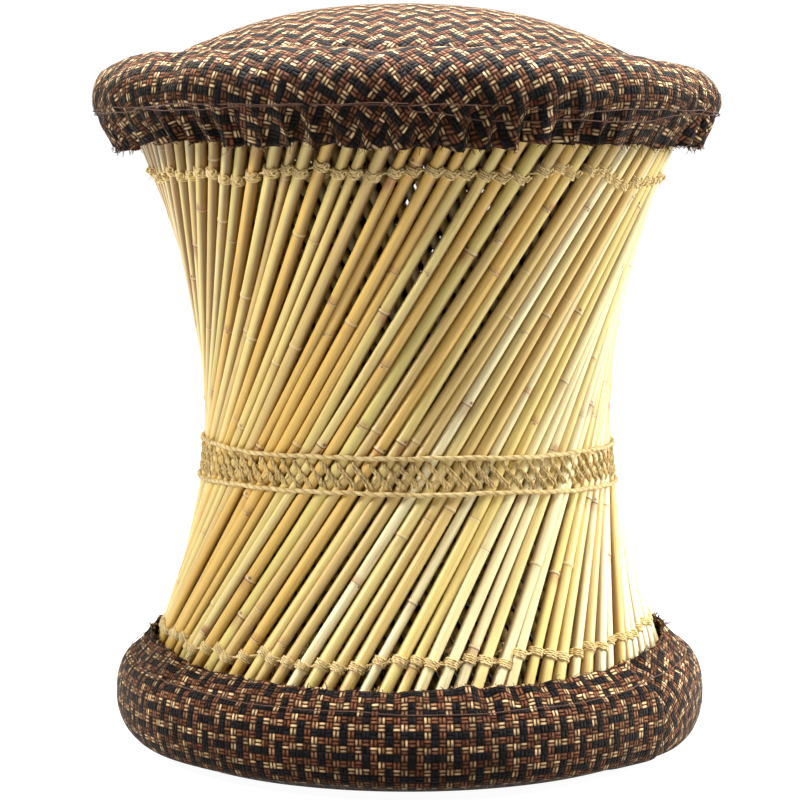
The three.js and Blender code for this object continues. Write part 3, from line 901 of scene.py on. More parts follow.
def make_reeds(settings, outer, material):
    """One piece for each bundle of tied reeds. A reed's radius tapers, swells in a ridge just
    over each node, and is a little narrow under it, and its section is slightly oval."""
    layer = Layer(settings, outer)
    nodes = reed_nodes(settings, layer)
    heights = reed_heights(nodes)
    lines = layer.line(heights)
    gap = (heights[:, :, None] - nodes[:, None]) * math.hypot(1, layer.lean)
    nearest = np.abs(gap).argmin(axis=2)
    distance = np.take_along_axis(gap, nearest[..., None], axis=2)[..., 0]
    sides, taper_way, ridge_rise, ridge_reach, neck_reach = 14, 0.18, 0.0007, 0.0011, 0.0016
    taper = layer.rng.normal(0, 0.035, (REED_COUNT, 1)) * (heights - WAIST_HEIGHT) / taper_way
    ridge, neck = bell(distance - ridge_rise, ridge_reach), bell(distance + neck_reach, neck_reach)
    swell = 0.09 * ridge - 0.05 * neck
    turn = full_turn(sides)
    oval = 1 + 0.025 * np.cos(2 * turn + layer.rng.uniform(0, 6, (REED_COUNT, 1)))
    radii = (layer.widths[:, None] / 2 * (1 + taper + swell))[..., None] * oval[:, None]
    run_start = layer.rng.uniform(0, 9, REED_COUNT)
    tints = reed_tints(settings, layer)
    way = ((heights - REED_FOOT) / (REED_TOP - REED_FOOT))[..., None]
    colours = tints[:, None, 0] * (1 - way) + tints[:, None, 1] * way
    bud = (layer.rng.uniform(0.2, 0.8, REED_COUNT)[:, None] * np.pi - turn)[:, None]
    marks = layer.rng.uniform(0.1, 0.9, (REED_COUNT, 3)) ** 1.3
    mark = np.take_along_axis(marks, nearest, axis=1)[..., None]
    tints = np.broadcast_to(np.concatenate([colours, mark], axis=-1)[:, :, None], radii.shape + (4,))
    from_node = (np.cos(bud), np.sin(bud), np.clip(distance, -0.02, 0.02)[..., None])
    node_places = np.stack([np.broadcast_to(item, radii.shape) for item in from_node], axis=-1)
    for bundle in range(REED_COUNT // REEDS_PER_BUNDLE):
        part = slice(bundle * REEDS_PER_BUNDLE, (bundle + 1) * REEDS_PER_BUNDLE)
        vertices, faces, place = sweep(
            lines[part], layer.out[part, None], radii[part], sides, run_start=run_start[part]
        )
        new_piece(
            f"{layer.side}_reed_bunch_{bundle + 1:02d}", f"{layer.side}_reeds_{bundle + 1:02d}",
            f"{layer.side}_reed", material, vertices, faces, place=place,
            tint=tints[part].reshape(-1, 4), node_place=node_places[part].reshape(-1, 3),
        )


# Ties and belt

# Steps of the upper row of ties in the photograph: degrees round the stool, and millimetres up
TIE_STEPS = np.array([
    (-90, 0), (-63, -0.5), (-45, -2.5), (-30, -5), (-18, -5.5), (-8, 4.5), (5, 4.5), (9, -3),
    (18, -3.5), (21, 5), (30, 4.5), (38, 3), (50, -2), (64, -6), (90, 0),
])


def tie_levels(layer, height, front_drop, stepped, rng):
    """Height of each reed's tie: the row's height with slow waves and a random part, lower
    towards the front by the front drop, and up and down by its share of the steps."""
    uneven = 0.0012
    levels = height + random_waves(layer.angles, [5, 11, 23], [uneven] * 3, rng)
    levels = levels + rng.normal(0, uneven, REED_COUNT) - front_drop * limited(np.cos(layer.angles))
    degrees = np.degrees(layer.angles + layer.turned(height))
    return levels + stepped * np.interp(degrees, TIE_STEPS[:, 0], TIE_STEPS[:, 1] / 1000, 0, 0)


def tie_row(layer, row, height, twine, material, seed, front_drop, stepped):
    """A row of ties. Round each reed the twine makes three and a half turns, which climb a
    little along the reed, and then it winds into a knot beside it and goes on to the next."""
    rng = np.random.default_rng(seed)
    radius = twine.tie_radius
    levels = tie_levels(layer, height, front_drop, stepped, rng)
    middle, along, out = (row_part[:, None] for row_part in layer.frame_at(levels))
    across, away = np.cross(out, along), layer.facing * out

    turns, points, pitch, bedding, unsteady = 3.5, 56, 2.05, 0.9, 0.00012
    turn = np.linspace(0, turns, points)[None, :, None]
    phase = np.pi * (1 - 2 * turn)
    climb = (turns / 2 - turn) * pitch * radius
    reach = (layer.widths / 2 + radius * bedding)[:, None, None]
    wrap = middle + reach * (np.cos(phase) * across + np.sin(phase) * away) + climb * along
    wrap = wrap + rng.normal(0, unsteady, wrap.shape)
    wrap_normal = unit(wrap - middle)

    start, knot_points, knot_turns, swing, half_knot = wrap[:, :1], 22, 1.3, 0.0016, 0.0012
    knot_aside, knot_up, knot_off = 0.0009, 0.0004, 0.0006
    knot_middle = start - across * knot_aside + along * knot_up + away * knot_off
    knot_turn = np.linspace(0, 2 * knot_turns * np.pi, knot_points)[None, :, None]
    knot_way = np.linspace(-half_knot, half_knot, knot_points)[None, :, None]
    knot = knot_middle + swing * (np.cos(knot_turn) * along + np.sin(knot_turn) * away) + knot_way * across

    link_points, link_rise = 9, 0.0016
    way = np.linspace(0, 1, link_points)[None, :, None]
    link = wrap[:, -1:] * (1 - way) + np.roll(start, -1, axis=0) * way
    link = link + away * link_rise * np.sin(np.pi * way)

    run = rng.uniform(0, 1, REED_COUNT)
    wobble = 1 + 0.12 * rng.normal(0, 1, (REED_COUNT, points, 1))
    sides, hair_radius = 7, 0.00009
    sweeps = [
        sweep(wrap, wrap_normal, radius * wobble, sides, run_start=run),
        sweep(knot, unit(knot - knot_middle), radius * 0.95, sides, run_start=run + 0.3),
        sweep(link, out, radius, sides, run_start=run + 0.6),
        path_hairs(wrap, wrap_normal, 7, 0, (2.0, 0.0021), hair_radius, rng),
    ]
    new_tubes(f"{row}_ties_{layer.side}", f"{row}_tie_{layer.side}", "jute_twine", material, sweeps)


def belt_level(twine, angle, side):
    """Height of the belt's upper cord for side 1, of its lower cord for side -1, and of the
    way between them for less. The belt hangs lower on the right and is narrower at the front."""
    least_drop, right_drop, front_pinch = 0.0004, 0.0034, 0.0016
    drop = least_drop + right_drop * limited(np.sin(angle)) ** 2
    half = twine.belt_width / 2 - front_pinch * limited(np.cos(angle))
    return twine.belt_height - drop + side * half


def belt_cord(layer, name, side, twine, lay, material, seed):
    """A two-ply cord round the waist, drawn in a little between the reeds. Its section has two
    lobes that wind round as the cord runs."""
    rng = np.random.default_rng(seed)
    rings, sides, hair_count, hair_radius, drawn_in = 720, 12, 1100, 0.00008, 0.0002
    angle = full_turn(rings)
    level = belt_level(twine, angle, side)
    level = level + random_waves(angle, [2, 5, 9, 31], [0.0003, 0.0003, 0.0003, 0.0002], rng)
    radius = twine.cord_radius
    out = layer.skin(level) + radius * 0.8 + waves(angle, [REED_COUNT], [0], [drawn_in])
    path = round_point(out, angle, level)
    lobe_turn = full_turn(sides) - 2 * np.pi * (angle * out.mean())[:, None] / lay
    swell = 1 + random_waves(angle, [37, 61, 97], [0.05, 0.05, 0.04], rng)[:, None]
    radii = radius * 0.95 * (1 + 0.05 * np.cos(2 * lobe_turn)) * swell
    normal = round_point(1.0, angle, 0.0)
    cord = sweep(path[None], normal[None], radii[None], sides, closed=True)
    picks = rng.integers(0, rings, hair_count)
    away = unit(normal[picks] + UP * rng.normal(0, 0.9, (hair_count, 1)))
    roots = path[picks] + away * radius * 0.8
    loose = hairs(roots, away, rng.gamma(1.6, 0.0009, hair_count), hair_radius, rng)
    new_tubes(f"belt_cord_{name}", f"waist_cord_{name}", "jute_twine", material, [cord, loose])


def belt_path(layer, twine, sides, turns, dive):
    """Paths over the reeds, one for each reed: places between the cords by side, and places
    round the waist in steps of one reed. The dive is how deep the path lies at each place,
    over and above the dip between two reeds."""
    step, gap_depth = 2 * np.pi / REED_COUNT, 0.0009
    angle = layer.angles[:, None] + layer.turned(twine.belt_height) + step * turns
    heights = belt_level(twine, angle, sides)
    reed_phase = (angle - layer.angles[:, None] - layer.turned(heights)) / step
    dip = gap_depth * (0.5 - 0.5 * np.cos(2 * np.pi * reed_phase))
    return round_point(layer.skin(heights) - dive - dip, angle, heights), round_point(1.0, angle, 0.0)


def belt_lashing(layer, twine, material):
    """Strands between the cords. Each leaves a gap under the upper cord, crosses two reeds
    down to the right in an S and dives into a gap over the lower cord. A strand is three loose
    yarns side by side, and two thinner wisps cross behind its middle the other way."""
    rng = np.random.default_rng(41)
    radius, points, dive, wisp_dive, end_way = twine.strand_radius, 23, 0.003, 0.0014, 0.09
    unsteady, hair_radius = 0.00009, 0.00008
    way = np.linspace(0, 1, points)
    ends = bell(way, end_way) + bell(1 - way, end_way)

    def scatter(mean, size):
        return mean + rng.normal(0, size, (REED_COUNT, 1))

    def tubes(path, normal, share, spread):
        thick = radius * (share + spread * rng.normal(0, 1, (REED_COUNT, points, 1)))
        return sweep(path, normal, thick, 6, run_start=rng.uniform(0, 1, REED_COUNT))

    sweeps = []
    for yarn in (-1, 0, 1):
        wander = scatter(0, 0.05) * np.sin(np.pi * way) + yarn * (0.1 + 0.1 * way)
        sides = 0.9 - 1.76 * way + scatter(-0.05 * yarn, 0.03)
        turns = -0.72 + 1.35 * (0.25 * way + 0.75 * smooth(way)) + wander
        rise = radius * (0.7 + 0.25 * (yarn == 0))
        path, normal = belt_path(layer, twine, sides, turns, dive * ends - rise)
        path = path + rng.normal(0, unsteady, path.shape)
        sweeps.append(tubes(path, normal, 0.76, 0.1))
        sweeps.append(path_hairs(path, normal, 8, 2, (1.8, 0.0012), hair_radius, rng))
    for _ in range(2):
        sides = scatter(0.12, 0.12) - scatter(0.55, 0.1) * way
        turns = 0.12 - scatter(0.62, 0.08) * way
        path, normal = belt_path(layer, twine, sides, turns, wisp_dive * ends - radius * 0.3)
        sweeps.append(tubes(path, normal, 0.36, 0.06))
    new_tubes("belt_strands", "waist_lashing", "jute_twine", material, sweeps)


# Cloth


def crooked(points):
    """The points as in the crooked stool of the photograph. The seat's right side is pressed
    down by up to 4.5 mm, more the higher a point lies over the drawing thread. The base's left
    side is drawn in by up to 2.6 mm, and the underside of its outer edge is up to 5 mm higher."""
    seat_drop, seat_reach, thread_height, drop_way = 0.0045, 0.18, 0.376, 0.03
    base_inset, base_lift, over_base = 0.0026, 0.005, 0.1
    x, y, z = np.moveaxis(points, -1, 0)
    radius = np.maximum(np.hypot(x, y), 1e-6)
    drop = seat_drop * limited(x / seat_reach) ** 1.5 * smooth((z - thread_height) / drop_way)
    left = limited(-x / radius)
    outer = limited((radius - BASE_RING["radius"]) / BASE_RING["width"]) * (z < over_base)
    shrink = 1 - base_inset * left**2 * outer / radius
    rise = base_lift * left**4 * outer * limited(1 - z / BASE_RING["height"])
    return np.stack([x * shrink, y * shrink, z - drop + rise], axis=-1)


def roll_point(roll, inset, degrees):
    """Radius and height of a roll's section at an angle from its outer side upwards. The
    section is a rounded square, which the floor flattens. From the contact with the floor
    outwards, the underside rises by the roll's tilt."""
    angle = np.radians(degrees)
    cos, sin = np.cos(angle), np.sin(angle)
    across = np.sign(cos) * np.abs(cos) ** roll["bend"]
    up = np.sign(sin) * np.abs(sin) ** roll["bend"]
    radius = roll["radius"] + (roll["width"] - inset) * across
    height = roll["height"] + (roll["rise"] - inset) * up
    floor = inset + roll.get("tilt", 0) * np.maximum(radius - roll["radius"], 0)
    return np.stack([radius, np.maximum(height, floor)], axis=-1)


def crown_height(reach):
    """Height of the crown: its top less its rise times a power of the reach from its middle."""
    return CROWN_TOP - CROWN_RISE * (reach / CROWN_RADIUS) ** CROWN_POWER


def seat_profile(rows):
    """The seat cloth from the crown's middle over the roll to its hanging hem."""
    reach = np.linspace(0, CROWN_RADIUS * 0.97, 40)
    crown = np.stack([reach, crown_height(reach)], axis=-1)
    ring = roll_point(SEAT_RING, 0, np.linspace(121, -33, 60))
    hem = [[0.1795, 0.3685], [0.1762, 0.3640], [0.1735, 0.3592]]
    return even_profile(np.concatenate([crown, [CREASE], ring, hem]), rows, 18)


def swollen(points, held, cap):
    """How far each point of a round grid moves when it is closed below and filled with pressure
    for 20 frames of Blender's Cloth, with 3 % of spare cloth. The grid's first row is its
    middle. A held row, with weight 1, stays where it is, and no point moves past the cap."""
    rows, columns = points.shape[:2]
    vertices = np.concatenate([points[:1, 0], points[1:].reshape(-1, 3), [points[-1].mean(axis=0)]])
    first = 1 + np.arange(columns)
    faces = (
        fan_faces(0, first),
        fan_faces(len(vertices) - 1, first + (rows - 2) * columns, turned=True),
        grid_faces(rows - 1, columns)[:, ::-1] + 1,
    )
    mesh = bpy.data.meshes.new("swelling")
    mesh.from_pydata(vertices.tolist(), [], [face for group in faces for face in group.tolist()])
    shape = bpy.data.objects.new("swelling", mesh)
    scene = bpy.context.scene
    scene.collection.objects.link(shape)
    weights = np.concatenate([[0], np.broadcast_to(held[1:], (rows - 1, columns)).ravel(), [1]]).round(2)
    group = shape.vertex_groups.new(name="held")
    for weight in np.unique(weights):
        group.add(np.flatnonzero(weights == weight).tolist(), float(weight), "REPLACE")
    cloth = shape.modifiers.new("Cloth", "CLOTH")
    settings, frames = cloth.settings, 20
    settings.vertex_group_mass = group.name
    settings.quality = 6
    settings.mass = 0.3
    settings.tension_stiffness = settings.compression_stiffness = settings.shear_stiffness = 5
    settings.bending_stiffness = 0.5
    settings.use_pressure = True
    settings.uniform_pressure_force = 40
    settings.shrink_min = -0.03
    settings.effector_weights.gravity = 0
    cloth.point_cache.frame_start, cloth.point_cache.frame_end = 1, frames
    for frame_number in range(1, frames + 1):
        scene.frame_set(frame_number)
    evaluated = shape.evaluated_get(bpy.context.evaluated_depsgraph_get())
    after = np.empty(len(vertices) * 3, np.float32)
    evaluated.data.vertices.foreach_get("co", after)
    bpy.data.objects.remove(shape)
    scene.frame_set(1)
    move = after.reshape(-1, 3)[:-1] - vertices[:-1]
    length = np.linalg.norm(move, axis=1, keepdims=True)
    move = move * np.minimum(1, cap / np.maximum(length, 1e-9))
    return np.concatenate([np.repeat(move[:1], columns, axis=0), move[1:]]).reshape(rows, columns, 3)


def finer(grid, rows, columns):
    """A round grid's values at more rows and columns, each a blend of the nearest four."""
    old_rows, old_columns = grid.shape[:2]
    row = np.linspace(0, old_rows - 1, rows)
    column = np.arange(columns) * old_columns / columns
    low = np.minimum(row.astype(int), old_rows - 2)
    left = column.astype(int)
    right = (left + 1) % old_columns
    up, across = (row - low)[:, None, None], (column - left)[None, :, None]
    lower = grid[low][:, left] * (1 - across) + grid[low][:, right] * across
    upper = grid[low + 1][:, left] * (1 - across) + grid[low + 1][:, right] * across
    return lower * (1 - up) + upper * up


def seat_swelling(profile, run, thread_run, rows, columns):
    """How far the stuffing presses the seat cloth out, found on a coarse grid by the cloth
    simulation. The cloth is held from the drawing thread on, and drawn in at the crease round
    the crown, more at some places than at others. Each row's mean movement is taken out, which
    leaves the section as it is, and a share of what is left is used."""
    crease_width, hold_way, cap, share, roll_top = 0.0035, 0.004, 0.0035, 0.6, 0.4
    pick = np.linspace(0, rows - 1, rows // 2).round().astype(int)
    profile, run = profile[pick], run[pick]
    angle = full_turn(columns // 4)
    below = 10 * (profile[:, 1] < roll_top)
    crease = run[np.argmin(np.abs(profile[:, 0] - CREASE[0]) + below)]
    drawn = 0.8 + random_waves(angle, [5, 13, 23], [0.05, 0.05, 0.06], np.random.default_rng(6))
    held = drawn * bell(run - crease, crease_width)[:, None]
    held = limited(held + limited((run - thread_run) / hold_way + 1)[:, None])
    move = swollen(round_point(profile[:, :1], angle, profile[:, 1:]), held, cap)
    out = round_point(1.0, angle, 0.0)
    mean_out = (move * out).sum(axis=-1).mean(axis=1)[:, None, None]
    mean_up = move[..., 2].mean(axis=1)[:, None, None]
    return finer(share * (move - mean_out * out - mean_up * UP), rows, columns)


def seat_cloth(cloth, material):
    """The seat's one round cut of cloth. Its rows follow the profile; round the stool it has
    gathers that grow from the drawing thread to the hem, puckers over the thread and slow
    waves on the roll. The cut is measured from the middle, at 45 degrees to the front."""
    rng = np.random.default_rng(5)
    rows, columns, roll_run, roll_side = 78, 480, 0.15, 0.17
    gather_depth, pucker_depth, thread_groove, slide_most = 0.0044, 0.0008, 0.0008, 0.0022
    pucker_reach, groove_reach, roll_way = 0.011, 0.003, 0.02
    profile = seat_profile(rows)
    run = run_along(profile)
    normals = profile_normals(profile)
    angle = full_turn(columns)
    inside = 10 * (profile[:, 0] < roll_side)
    thread_run = run[np.argmin(np.abs(profile[:, 1] - SEAT_DRAWN_HEIGHT) + inside)]
    past = limited((run - thread_run) / (run[-1] - thread_run))[:, None]
    pucker, groove = (bell(run - thread_run, reach)[:, None] for reach in (pucker_reach, groove_reach))
    counts = rng.integers(44, 84, 9)
    gather = gathers(angle, counts, rng) / 2.2
    gather = gather * (1 + random_waves(angle, [3, 7, 11], [0.25, 0.25, 0.2], rng))
    side_gather = gathers(angle, counts, rng) / 2.2
    slow = random_waves(angle, [3, 5, 8, 13], [0.0006, 0.0006, 0.0005, 0.0004], rng)
    ragged_sizes = [0.0007, 0.0007, 0.0009, 0.0008, 0.0008, 0.0007, 0.0004]
    ragged = random_waves(angle, [2, 3, 5, 9, 17, 41, 83], ragged_sizes, rng)
    lift = gather * (gather_depth * past**0.8 + pucker_depth * pucker)
    lift = lift + slow * limited((run - roll_run) / roll_way)[:, None] - thread_groove * groove
    radius = profile[:, :1] + normals[:, :1] * lift
    height = profile[:, 1:] + normals[:, 1:] * lift * (1 - 0.55 * past) - ragged * past**2
    slide = side_gather * slide_most * past / np.maximum(radius, 0.05)
    points = round_point(radius, angle + slide, height)
    points = points + seat_swelling(profile, run, thread_run, rows, columns)
    points = crooked(points)
    turned = angle + np.pi / 4
    cut = np.stack([run[:, None] * np.cos(turned), run[:, None] * np.sin(turned), 0 * lift], axis=-1)
    vertices = np.concatenate([points[:1, 0] * UP, points[1:].reshape(-1, 3)])
    places = np.concatenate([cut[:1, 0], cut[1:].reshape(-1, 3)])
    faces = [fan_faces(0, 1 + np.arange(columns)), grid_faces(rows - 1, columns)[:, ::-1] + 1]
    piece = new_piece("seat_cloth", "seat_cover", "woven_cloth", material, vertices, faces, cut=places)
    thicken(piece, cloth.thickness)
    return piece, run[-1], points[-1]


def thicken(piece, thickness):
    """Gives a cloth its thickness on its inner side."""
    solid = piece.modifiers.new("Thickness", "SOLIDIFY")
    solid.thickness = thickness
    solid.offset = -1


def yarn_ends(name, hem, down, cloth, count, seed):
    """Frayed yarns along a hem: short bent tubes, each in one of the cloth's three colours."""
    rng = np.random.default_rng(seed)
    steps, sides, longest, unsteady, thinnest, thickest = 5, 4, 0.0045, 0.0004, 0.00012, 0.00034
    picks = rng.integers(0, len(hem), count)
    outward = unit(hem * LEVEL)[picks]
    roots = hem[picks] + rng.normal(0, unsteady, (count, 3))
    lean = down * rng.uniform(0.4, 1.2, (count, 1)) * UP + outward * rng.normal(0.25, 0.5, (count, 1))
    lean = unit(lean + rng.normal(0, 0.45, (count, 3)))
    way = np.linspace(0, 1, steps)[None, :, None]
    lengths = np.minimum(rng.gamma(2.2, 0.0007, (count, 1, 1)), longest)
    bend = rng.normal(0, 0.4, (count, 1, 3))
    paths = roots[:, None] + lengths * (way * lean[:, None] + way**2 * bend)
    radii = rng.uniform(thinnest, thickest, (count, 1, 1)) * (1 - 0.4 * way)
    vertices, faces, place = sweep(paths, unit(np.cross(lean, outward + 0.01))[:, None], radii, sides)
    palette = np.array([list(cloth.black), list(cloth.brown), list(cloth.tan)])
    tints = palette[rng.choice(3, count, p=[0.45, 0.37, 0.18])] * rng.uniform(0.6, 1.2, (count, 1))
    tint = np.repeat(np.concatenate([tints, np.ones((count, 1))], axis=1), steps * sides, axis=0)
    material = yarn_material(name[:-1])
    return new_piece(name, None, "woven_cloth", material, vertices, faces, place=place, tint=tint)


def seat_thread_path():
    """Two turns of thread round the seat ring, the second a little higher than the first. Both
    wander, and the first sags in a slack loop at the front's right, off the cloth."""
    rng = np.random.default_rng(15)
    foot, climb, sag, stand_off, slack_off = 0.3772, 0.0042, 0.0068, 0.0009, 0.0032
    slack_middle, slack_reach = np.radians(30), np.radians(22)
    angle = np.linspace(0, 4 * np.pi, 900)
    level = foot + climb * angle / (4 * np.pi)
    sizes = [0.0012, 0.0008, 0.0007, 0.0004, 0.0003]
    level = level + random_waves(angle, [1.5, 3.5, 7.5, 12.5, 31], sizes, rng)
    slack = np.exp(-(((angle - slack_middle) / slack_reach) ** 4))
    level = level - sag * slack
    section = roll_point(SEAT_RING, 0, np.linspace(-60, 0, 80))
    radius = np.interp(level, section[:, 1], section[:, 0]) + stand_off + slack_off * slack
    radius = radius + random_waves(angle, [9, 21, 43], [0.0004, 0.0003, 0.0003], rng)
    return round_point(radius, angle, level)


def base_thread_path():
    """One turn of thread round the base ring, lower towards the front."""
    rng = np.random.default_rng(16)
    back_height, front_drop, stand_off = 0.0562, 0.0058, 0.0005
    angle = np.linspace(0, 2 * np.pi, 500)
    level = back_height - front_drop * limited(np.cos(angle)) ** 1.4
    level = level + random_waves(angle, [1, 3, 5, 11, 23], [0.0006, 0.0006, 0.0005, 0.0004, 0.0002], rng)
    section = roll_point(BASE_RING, 0, np.linspace(0, 88, 80))
    radius = np.interp(level, section[:, 1], section[:, 0]) + stand_off
    return crooked(round_point(radius, angle, level))


def drawing_thread(name, path, twine):
    """Thread along a path of points round the stool, from one end to the other."""
    # The thread's deep colour, at 0.3 of its own, is painted shade in its grooves
    material = twine_material(f"{name}_thread", 0.002, opaque(twine.thread), opaque(twine.thread, 0.3))
    tube = sweep(path[None], unit(path * LEVEL)[None], twine.thread_radius, 7)
    new_tubes(f"{name}_drawing_thread", f"{name}_thread", "brown_thread", material, [tube])


def base_profile(rows):
    """The base cloth from its gathered top edge, down round the roll and the floor and up on
    the inner side to its inner edge."""
    edge = [[0.1567, 0.0692], [0.1588, 0.0652]]
    roll = roll_point(BASE_RING, 0, np.linspace(62, -240, 110))
    return even_profile(np.concatenate([edge, roll]), rows, 8)


def base_cut(run, angle):
    """Place on the flat cut. From the seam over the front to the back the cloth is a straight
    strip. On from there it is a ring, so its yarns turn with the angle."""
    ring_start, strip_radius = 0.136, 0.178
    ring = run + ring_start
    past = np.minimum(angle + np.pi, 0)
    u = strip_radius * np.maximum(angle, -np.pi) + ring * np.sin(past)
    return np.stack([u, ring * np.cos(past), 0 * u], axis=-1)


def base_cloth(cloth, material):
    """The base's strip of cloth, wrapped round the roll. Its two ends lap at the seam, and the
    upper end lies on the lower one. Small gathers grow towards its top edge, which is lower at
    the front, and the thread draws in a groove."""
    rng = np.random.default_rng(9)
    rows, columns, lap = 74, 500, 0.055
    lap_start, lap_edge = 1 - lap / 6.3, 0.006
    seam_degrees, seam_slant, slant_run = 49, 5, 0.035
    floor_gap, clear_way = 0.002, 0.006
    front_drop, thread_run, thread_drop = 0.0125, 0.0185, 0.008
    top_reach, edge_reach, groove_reach = 0.010, 0.005, 0.003
    gather_depth, thread_gather, thread_groove, lap_rise = 0.0014, 0.0005, 0.0014, 0.0011
    profile = base_profile(rows)
    run = run_along(profile)
    seam = np.radians(seam_degrees + seam_slant * limited(run / slant_run))[:, None]
    way = np.linspace(0, 1, columns)[None, :]
    angle = seam - (2 * np.pi + lap) * (1 - way)
    front = limited(np.cos(angle)) ** 1.4
    short = front_drop * front
    along = short + (run[-1] - short) * (run / run[-1])[:, None]
    line = taken_at(along, run, profile)
    normal = taken_at(along, run, profile_normals(profile))
    over = limited((way - lap_start) / lap_edge + 1)
    gather = gathers(angle, rng.integers(34, 66, 8), rng) / 2.0
    top, edge = bell(along - short, top_reach), bell(along - short, edge_reach)
    thread = bell(along - thread_run - thread_drop * front, groove_reach)
    slow = random_waves(angle, [3, 4, 7, 12], [0.0005, 0.0004, 0.0004, 0.0003], rng)
    ragged_sizes = [0.0005, 0.0005, 0.0005, 0.0004, 0.0003, 0.0003]
    ragged = random_waves(angle, [2, 5, 9, 15, 37, 61], ragged_sizes, rng)
    clear = limited((line[..., 1] - floor_gap) / clear_way)
    lift = gather * (gather_depth * top + thread_gather * thread) + slow - thread_groove * thread
    lift = lift * clear + lap_rise * over
    radius = line[..., 0] + normal[..., 0] * lift
    height = np.maximum(line[..., 1] + normal[..., 1] * lift * (1 - 0.6 * edge), 0) + ragged * edge
    points = crooked(round_point(radius, angle, height))
    piece = new_piece(
        "base_cloth", "base_cover", "woven_cloth", material, points.reshape(-1, 3),
        [grid_faces(rows, columns, wrap_columns=False)[:, ::-1]], cut=base_cut(along, angle).reshape(-1, 3),
    )
    thicken(piece, cloth.thickness)
    return piece, run[-1], points[0]


# Stuffing, deck and hoops


def slot_wall(outer, low, high):
    """Wall of the slot that the reeds stand in, outside the outer or inside the inner layer:
    the reeds' middle radius at each height, and half a reed's reach with a small gap."""
    waist, lean, width = (OUTER_WAIST, OUTER_LEAN, 0.0073) if outer else (INNER_WAIST, INNER_LEAN, 0.0067)
    heights, gap = np.linspace(low, high, 12), 0.0005
    line = np.hypot(waist, lean * (heights - WAIST_HEIGHT))
    half = width / math.sqrt(3) * np.hypot(1, lean**2 * (heights - WAIST_HEIGHT) / line) + gap
    return np.stack([line + half if outer else line - half, heights], axis=-1)


def roll_outlines():
    """Sections of the four rolls: the cloth's section drawn in, cut at the reeds' slot."""
    seat_low, seat_high, slot_radius, hoop_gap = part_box("seat_roll")[0].z, 0.3884, 0.14, 0.0004
    arc = roll_point(SEAT_RING, ROLL_INSET, np.linspace(-33, 121, 50))
    arc = arc[arc[:, 1] > seat_low]
    seat = np.concatenate([arc, [[arc[-1, 0], seat_high]], slot_wall(True, seat_high, arc[0, 1])])

    low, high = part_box("seat_inner_roll")
    wall, thickness, lean_in = slot_wall(False, low.z, high.z), 0.018, 0.006
    inner = [[wall[-1, 0] - thickness - lean_in, high.z], [wall[0, 0] - thickness, low.z]]
    seat_inner = np.concatenate([wall, inner])

    arc = roll_point(BASE_RING, ROLL_INSET, np.linspace(-178, 40, 80))
    low_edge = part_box("base_hoop")[0].z - hoop_gap
    arc = arc[(arc[:, 0] > slot_radius) | (arc[:, 1] < low_edge)]
    base = np.concatenate([arc, slot_wall(True, arc[-1, 1], low_edge)])

    low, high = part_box("base_inner_roll")
    arc = roll_point(BASE_RING, INNER_ROLL_INSET, np.linspace(-240, -182, 30))
    base_inner = np.concatenate([slot_wall(False, low.z, high.z), arc[arc[:, 1] > low.z]])
    return {"seat": seat, "seat_inner": seat_inner, "base": base, "base_inner": base_inner}


def stuffed_ring(name, outline, material):
    """A closed ring with the outline as its section. The stems run round the ring and make
    ridges on its skin: the skin swings in and out once for each stem."""
    rows, columns, stems, ridge = 96, 180, 34, 0.0006
    profile = even_profile(np.concatenate([outline, outline[:1]]), rows + 1, 2)[:-1]
    normals = profile_normals(np.concatenate([profile, profile[:1]]))[:-1]
    way, angle = (np.arange(rows) / rows)[:, None], full_turn(columns)
    turn = way * stems + 3 * np.sin(angle) + 1.3 * np.sin(3 * angle + 1)
    inward = ridge * (1 - np.abs(np.sin(np.pi * turn)))
    radius = profile[:, :1] + normals[:, :1] * inward
    height = profile[:, 1:] + normals[:, 1:] * inward
    points = crooked(round_point(radius, angle, height))
    stems_at = np.stack(np.broadcast_arrays(turn, way * 9, angle), axis=-1)
    new_piece(
        f"{name}_grass_roll", f"{name}_roll", "grass_roll", material, points.reshape(-1, 3),
        [grid_faces(rows, columns, wrap_rows=True)], stems=stems_at.reshape(-1, 3),
    )


def make_pad(material):
    """A crowned pad: flat under, rounded at its rim, with its top a little under the cloth."""
    rows, columns, rim_gap, top_gap, under_gap = 40, 120, 0.0065, 0.0038, 0.0004
    low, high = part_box("seat_pad")
    reach = (high.x - rim_gap) * np.linspace(0, 1, 22)
    under = np.stack([reach, low.z + under_gap + 0 * reach], axis=-1)
    over = np.stack([reach, crown_height(reach) - top_gap], axis=-1)[::-1]
    profile = even_profile(np.concatenate([under, over]), rows, 10)
    profile[0, 0] = profile[-1, 0] = 0
    ring = round_point(profile[1:-1, :1], full_turn(columns), profile[1:-1, 1:])
    ends = UP * profile[[0, -1], 1][:, None]
    vertices = crooked(np.concatenate([ends[:1], ring.reshape(-1, 3), ends[1:]]))
    first, hub = 1 + np.arange(columns), len(vertices) - 1
    faces = [
        fan_faces(0, first, turned=True),
        fan_faces(hub, hub - columns - 1 + first),
        grid_faces(rows - 2, columns) + 1,
    ]
    piece = new_piece("wadding_pad", "seat_pad", "wadding", material, vertices, faces)


